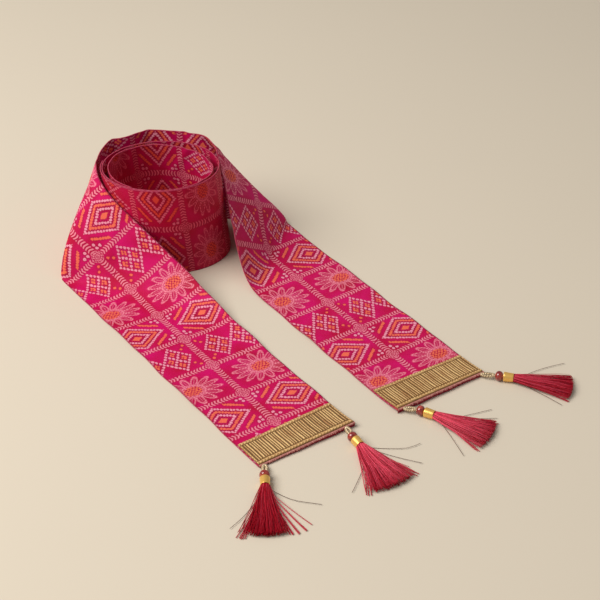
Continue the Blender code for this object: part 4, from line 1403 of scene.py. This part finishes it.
class StoleTasselBuilder(bpy.types.Operator):
    """Sew on the four tassels: twisted loop, bead, cap and silk skirt"""

    bl_idname = "stole.make_tassels"
    bl_label = "Tassels"

    def execute(self, context):
        settings = context.scene.stole_tassel
        for number, tassel in enumerate(TASSELS):
            corner, bead_start, cap_start, skirt_start, ahead = tassel_frames(tassel)
            self.sew_loop(tassel, corner, bead_start)
            self.string_bead(tassel, bead_start, ahead)
            self.fit_cap(tassel, cap_start, ahead)
            self.hang_skirt(tassel, skirt_start, ahead, settings, random.Random(40 + number))
        return {"FINISHED"}

    def sew_loop(self, tassel, corner, bead_start):
        """Sews a ring of twisted thread between the corner and the bead."""
        low, high = (Vector(end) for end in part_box(f"loop_{tassel.name}"))
        run = bead_start - corner
        along = run.normalized()
        across = UP.cross(along).normalized()
        half_width = LOOP_WIDTH / 2 - 0.0013
        half_length = max(run.length / 2 - 0.0012, half_width)
        runs = twisted_ring((low + high) / 2, along, across, half_length, half_width)
        loop = cords(f"thread_loop_{tassel.name}", runs, "loop_thread", 1, closed=True)
        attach(loop, "root")
        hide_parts(f"loop_{tassel.name}")

    def string_bead(self, tassel, bead_start, ahead):
        """Turns the bead, a little fuller than a sphere, with its poles on the thread."""
        half, steps = BEAD_LENGTH / 2, 14
        profile = [(0.0, 0.0)]
        for k in range(1, steps):
            turn = math.pi * k / steps
            profile.append((BEAD_RADIUS * math.sin(turn) ** 0.7, half - half * math.cos(turn)))
        profile.append((0.0, BEAD_LENGTH))
        bm = spun(profile, 28, bead_start, ahead)
        bead = finished(f"glass_bead_{tassel.name}", bm, "bead_glass")
        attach(bead, "root")
        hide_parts(f"bead_{tassel.name}")

    def fit_cap(self, tassel, cap_start, ahead):
        """Turns the cap, which narrows to its open mouth and is hollow round the skirt's neck."""
        length, full, mouth = CAP_LENGTH, CAP_RADIUS, CAP_MOUTH
        bore = mouth - 0.0004
        profile = [(0.0, 0.0), (full * 0.74, 0.0), (full * 0.92, length * 0.012),
                   (full * 0.985, length * 0.04), (full, length * 0.09)]
        for k in range(1, 8):
            share = k / 8
            profile.append((full + (mouth - full) * share, length * (0.09 + 0.84 * share)))
        profile += [(mouth, length * 0.95), (mouth * 0.985, length * 0.99), (mouth * 0.95, length),
                    (bore, length * 0.97), (bore, length * 0.74), (0.0, length * 0.74)]
        cap = finished(f"gold_cap_{tassel.name}", spun(profile, 32, cap_start, ahead), "cap_gold")
        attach(cap, "root")
        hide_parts(f"cap_{tassel.name}")

    def hang_skirt(self, tassel, start, ahead, settings, chance):
        """Hangs the skirt's strands, its loose threads and its combed tips."""
        look, radius = SKIRT_LOOKS[tassel.name], settings.strand_radius
        strands = [silk_strand(tassel, look, start, ahead, chance, radius)
                   for _ in range(settings.strands)]
        strands += [loose_thread(path, start, ahead, radius) for path in look.loose]
        strands += [combed_strand(tip, left, start, ahead, radius) for tip, left in look.combed]
        runs = [(points, radii) for points, radii, _ in strands]
        skirt = cords(f"silk_skirt_{tassel.name}", runs, "strand_silk", 0)
        # A strand has four sides. The mesh has the two end caps of every strand first, from the
        # last strand back, and then the rings of each strand in turn.
        shades = [shade for _, _, shade in strands]
        rows = [np.repeat((shade[-1], shade[0]), 4) for shade in reversed(shades)]
        rows += [np.repeat(shade, 4) for shade in shades]
        layer = skirt.data.attributes.new("shade", "FLOAT", "POINT")
        layer.data.foreach_set("value", np.concatenate(rows).astype(np.float32))
        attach(skirt, "root")
        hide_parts(f"tassel_{tassel.name}")


# ---------------------------------------------------------------- materials and stage

class StoleMaterialBuilder(bpy.types.Operator):
    """Mix the stole's materials"""

    bl_idname = "stole.make_materials"
    bl_label = "Materials"

    def execute(self, context):
        scene = context.scene
        for make_group in (make_print_group, make_weave_group, make_mottle_group, make_twist_group):
            make_group()
        printed_silk(scene.stole_cloth)
        mottled_finish("hem_silk", 420.0, (0.8, 0.5), ((0.34, 0.006, 0.045), (0.62, 0.10, 0.16)),
                       bump=0.00008, place=uv_place, Roughness=0.65, Specular_IOR_Level=0.2)
        gold_lace(scene.stole_band)
        end_hem_silk(scene.stole_band)
        tassel = scene.stole_tassel
        mottled_finish("loop_thread", 1300.0, (0.6, 0.4), (tassel.thread, (0.36, 0.24, 0.11)),
                       bump=0.00015, Roughness=0.38, Metallic=0.7)
        mottled_finish("bead_glass", 260.0, (0.9, 0.2), (tassel.bead, (0.62, 0.09, 0.05)),
                       (0.05, 0.14), Coat_Weight=0.6, Coat_Roughness=0.05,
                       Specular_IOR_Level=0.7)
        mottled_finish("cap_gold", 420.0, (0.6, 0.30), (tassel.brass, (0.85, 0.44, 0.10)),
                       (0.06, 0.34), Metallic=0.6)
        strand_silk(tassel)
        table = scene.stole_stage.table
        mottled_finish("pale_table", 1.6, (0.5, 0.5), (table, [part * 0.97 for part in table]),
                       Roughness=0.85, Specular_IOR_Level=0.15)
        return {"FINISHED"}


def placed(data, place, turn):
    """The object of a light or a camera, at its place and turned."""
    obj = bpy.data.objects.new(data.name, data)
    obj.location = place
    obj.rotation_euler = turn
    bpy.context.scene.collection.objects.link(obj)
    return obj


class StoleStageBuilder(bpy.types.Operator):
    """Set the pale table, the soft light and the camera"""

    bl_idname = "stole.make_stage"
    bl_label = "Stage"

    def execute(self, context):
        scene = context.scene
        settings = scene.stole_stage
        bm = bmesh.new()
        bmesh.ops.create_grid(bm, x_segments=24, y_segments=24, size=TABLE_HALF)
        table = finished("table", bm, "pale_table")
        key = bpy.data.lights.new("key_light", "AREA")
        key.shape = "SQUARE"
        key.size = KEY_SIZE
        key.energy = settings.key_power
        key.color = (1.0, 0.96, 0.91)
        towards = Vector(KEY_TARGET) - Vector(KEY_AT)
        placed(key, KEY_AT, towards.to_track_quat("-Z", "Y").to_euler())
        world = bpy.data.worlds.new("even_light")
        world.use_nodes = True
        feed(world.node_tree.nodes["Background"], Color=(1.0, 0.97, 0.93, 1.0),
             Strength=settings.fill)
        scene.world = world
        scene.view_settings.view_transform = "Standard"
        camera = bpy.data.cameras.new("camera")
        camera.lens = CAMERA_LENS
        camera.sensor_width = 36.0
        scene.camera = placed(camera, CAMERA_AT, (math.radians(90.0 - CAMERA_DOWN), 0.0, 0.0))
        return {"FINISHED"}


class StoleSidebar(bpy.types.Panel):
    """Lists the stole's pieces and their settings"""

    bl_label = "Bandhani stole"
    bl_idname = "VIEW3D_PT_bandhani_stole"
    bl_space_type = "VIEW_3D"
    bl_region_type = "UI"
    bl_category = "Stole"

    def draw(self, context):
        layout = self.layout
        for group in SETTINGS:
            box = layout.box()
            box.label(text=group.__doc__)
            owner = getattr(context.scene, SETTINGS[group])
            for name in group.__annotations__:
                box.prop(owner, name)
        for operator in OPERATORS:
            layout.operator(operator.bl_idname, text=operator.bl_label)


SETTINGS = {
    StoleClothSettings: "stole_cloth",
    StoleBandSettings: "stole_band",
    StoleTasselSettings: "stole_tassel",
    StoleStageSettings: "stole_stage",
}
OPERATORS = (
    StoleMaterialBuilder,
    StoleStageBuilder,
    StoleRingBuilder,
    StoleCoilBuilder,
    StoleBandBuilder,
    StoleTasselBuilder,
)


def register():
    """Registers the settings, the operators and the sidebar."""
    for group, name in SETTINGS.items():
        bpy.utils.register_class(group)
        setattr(bpy.types.Scene, name, PointerProperty(type=group))
    for operator in OPERATORS:
        bpy.utils.register_class(operator)
    bpy.utils.register_class(StoleSidebar)


def unregister():
    """Takes back what register did."""
    bpy.utils.unregister_class(StoleSidebar)
    for operator in reversed(OPERATORS):
        bpy.utils.unregister_class(operator)
    for group, name in reversed(SETTINGS.items()):
        delattr(bpy.types.Scene, name)
        bpy.utils.unregister_class(group)


def main():
    """Builds the dressed stole on its stage."""
    register()
    for operator in OPERATORS:
        category, name = operator.bl_idname.split(".")
        getattr(getattr(bpy.ops, category), name)()


if __name__ == "__main__":
    main()
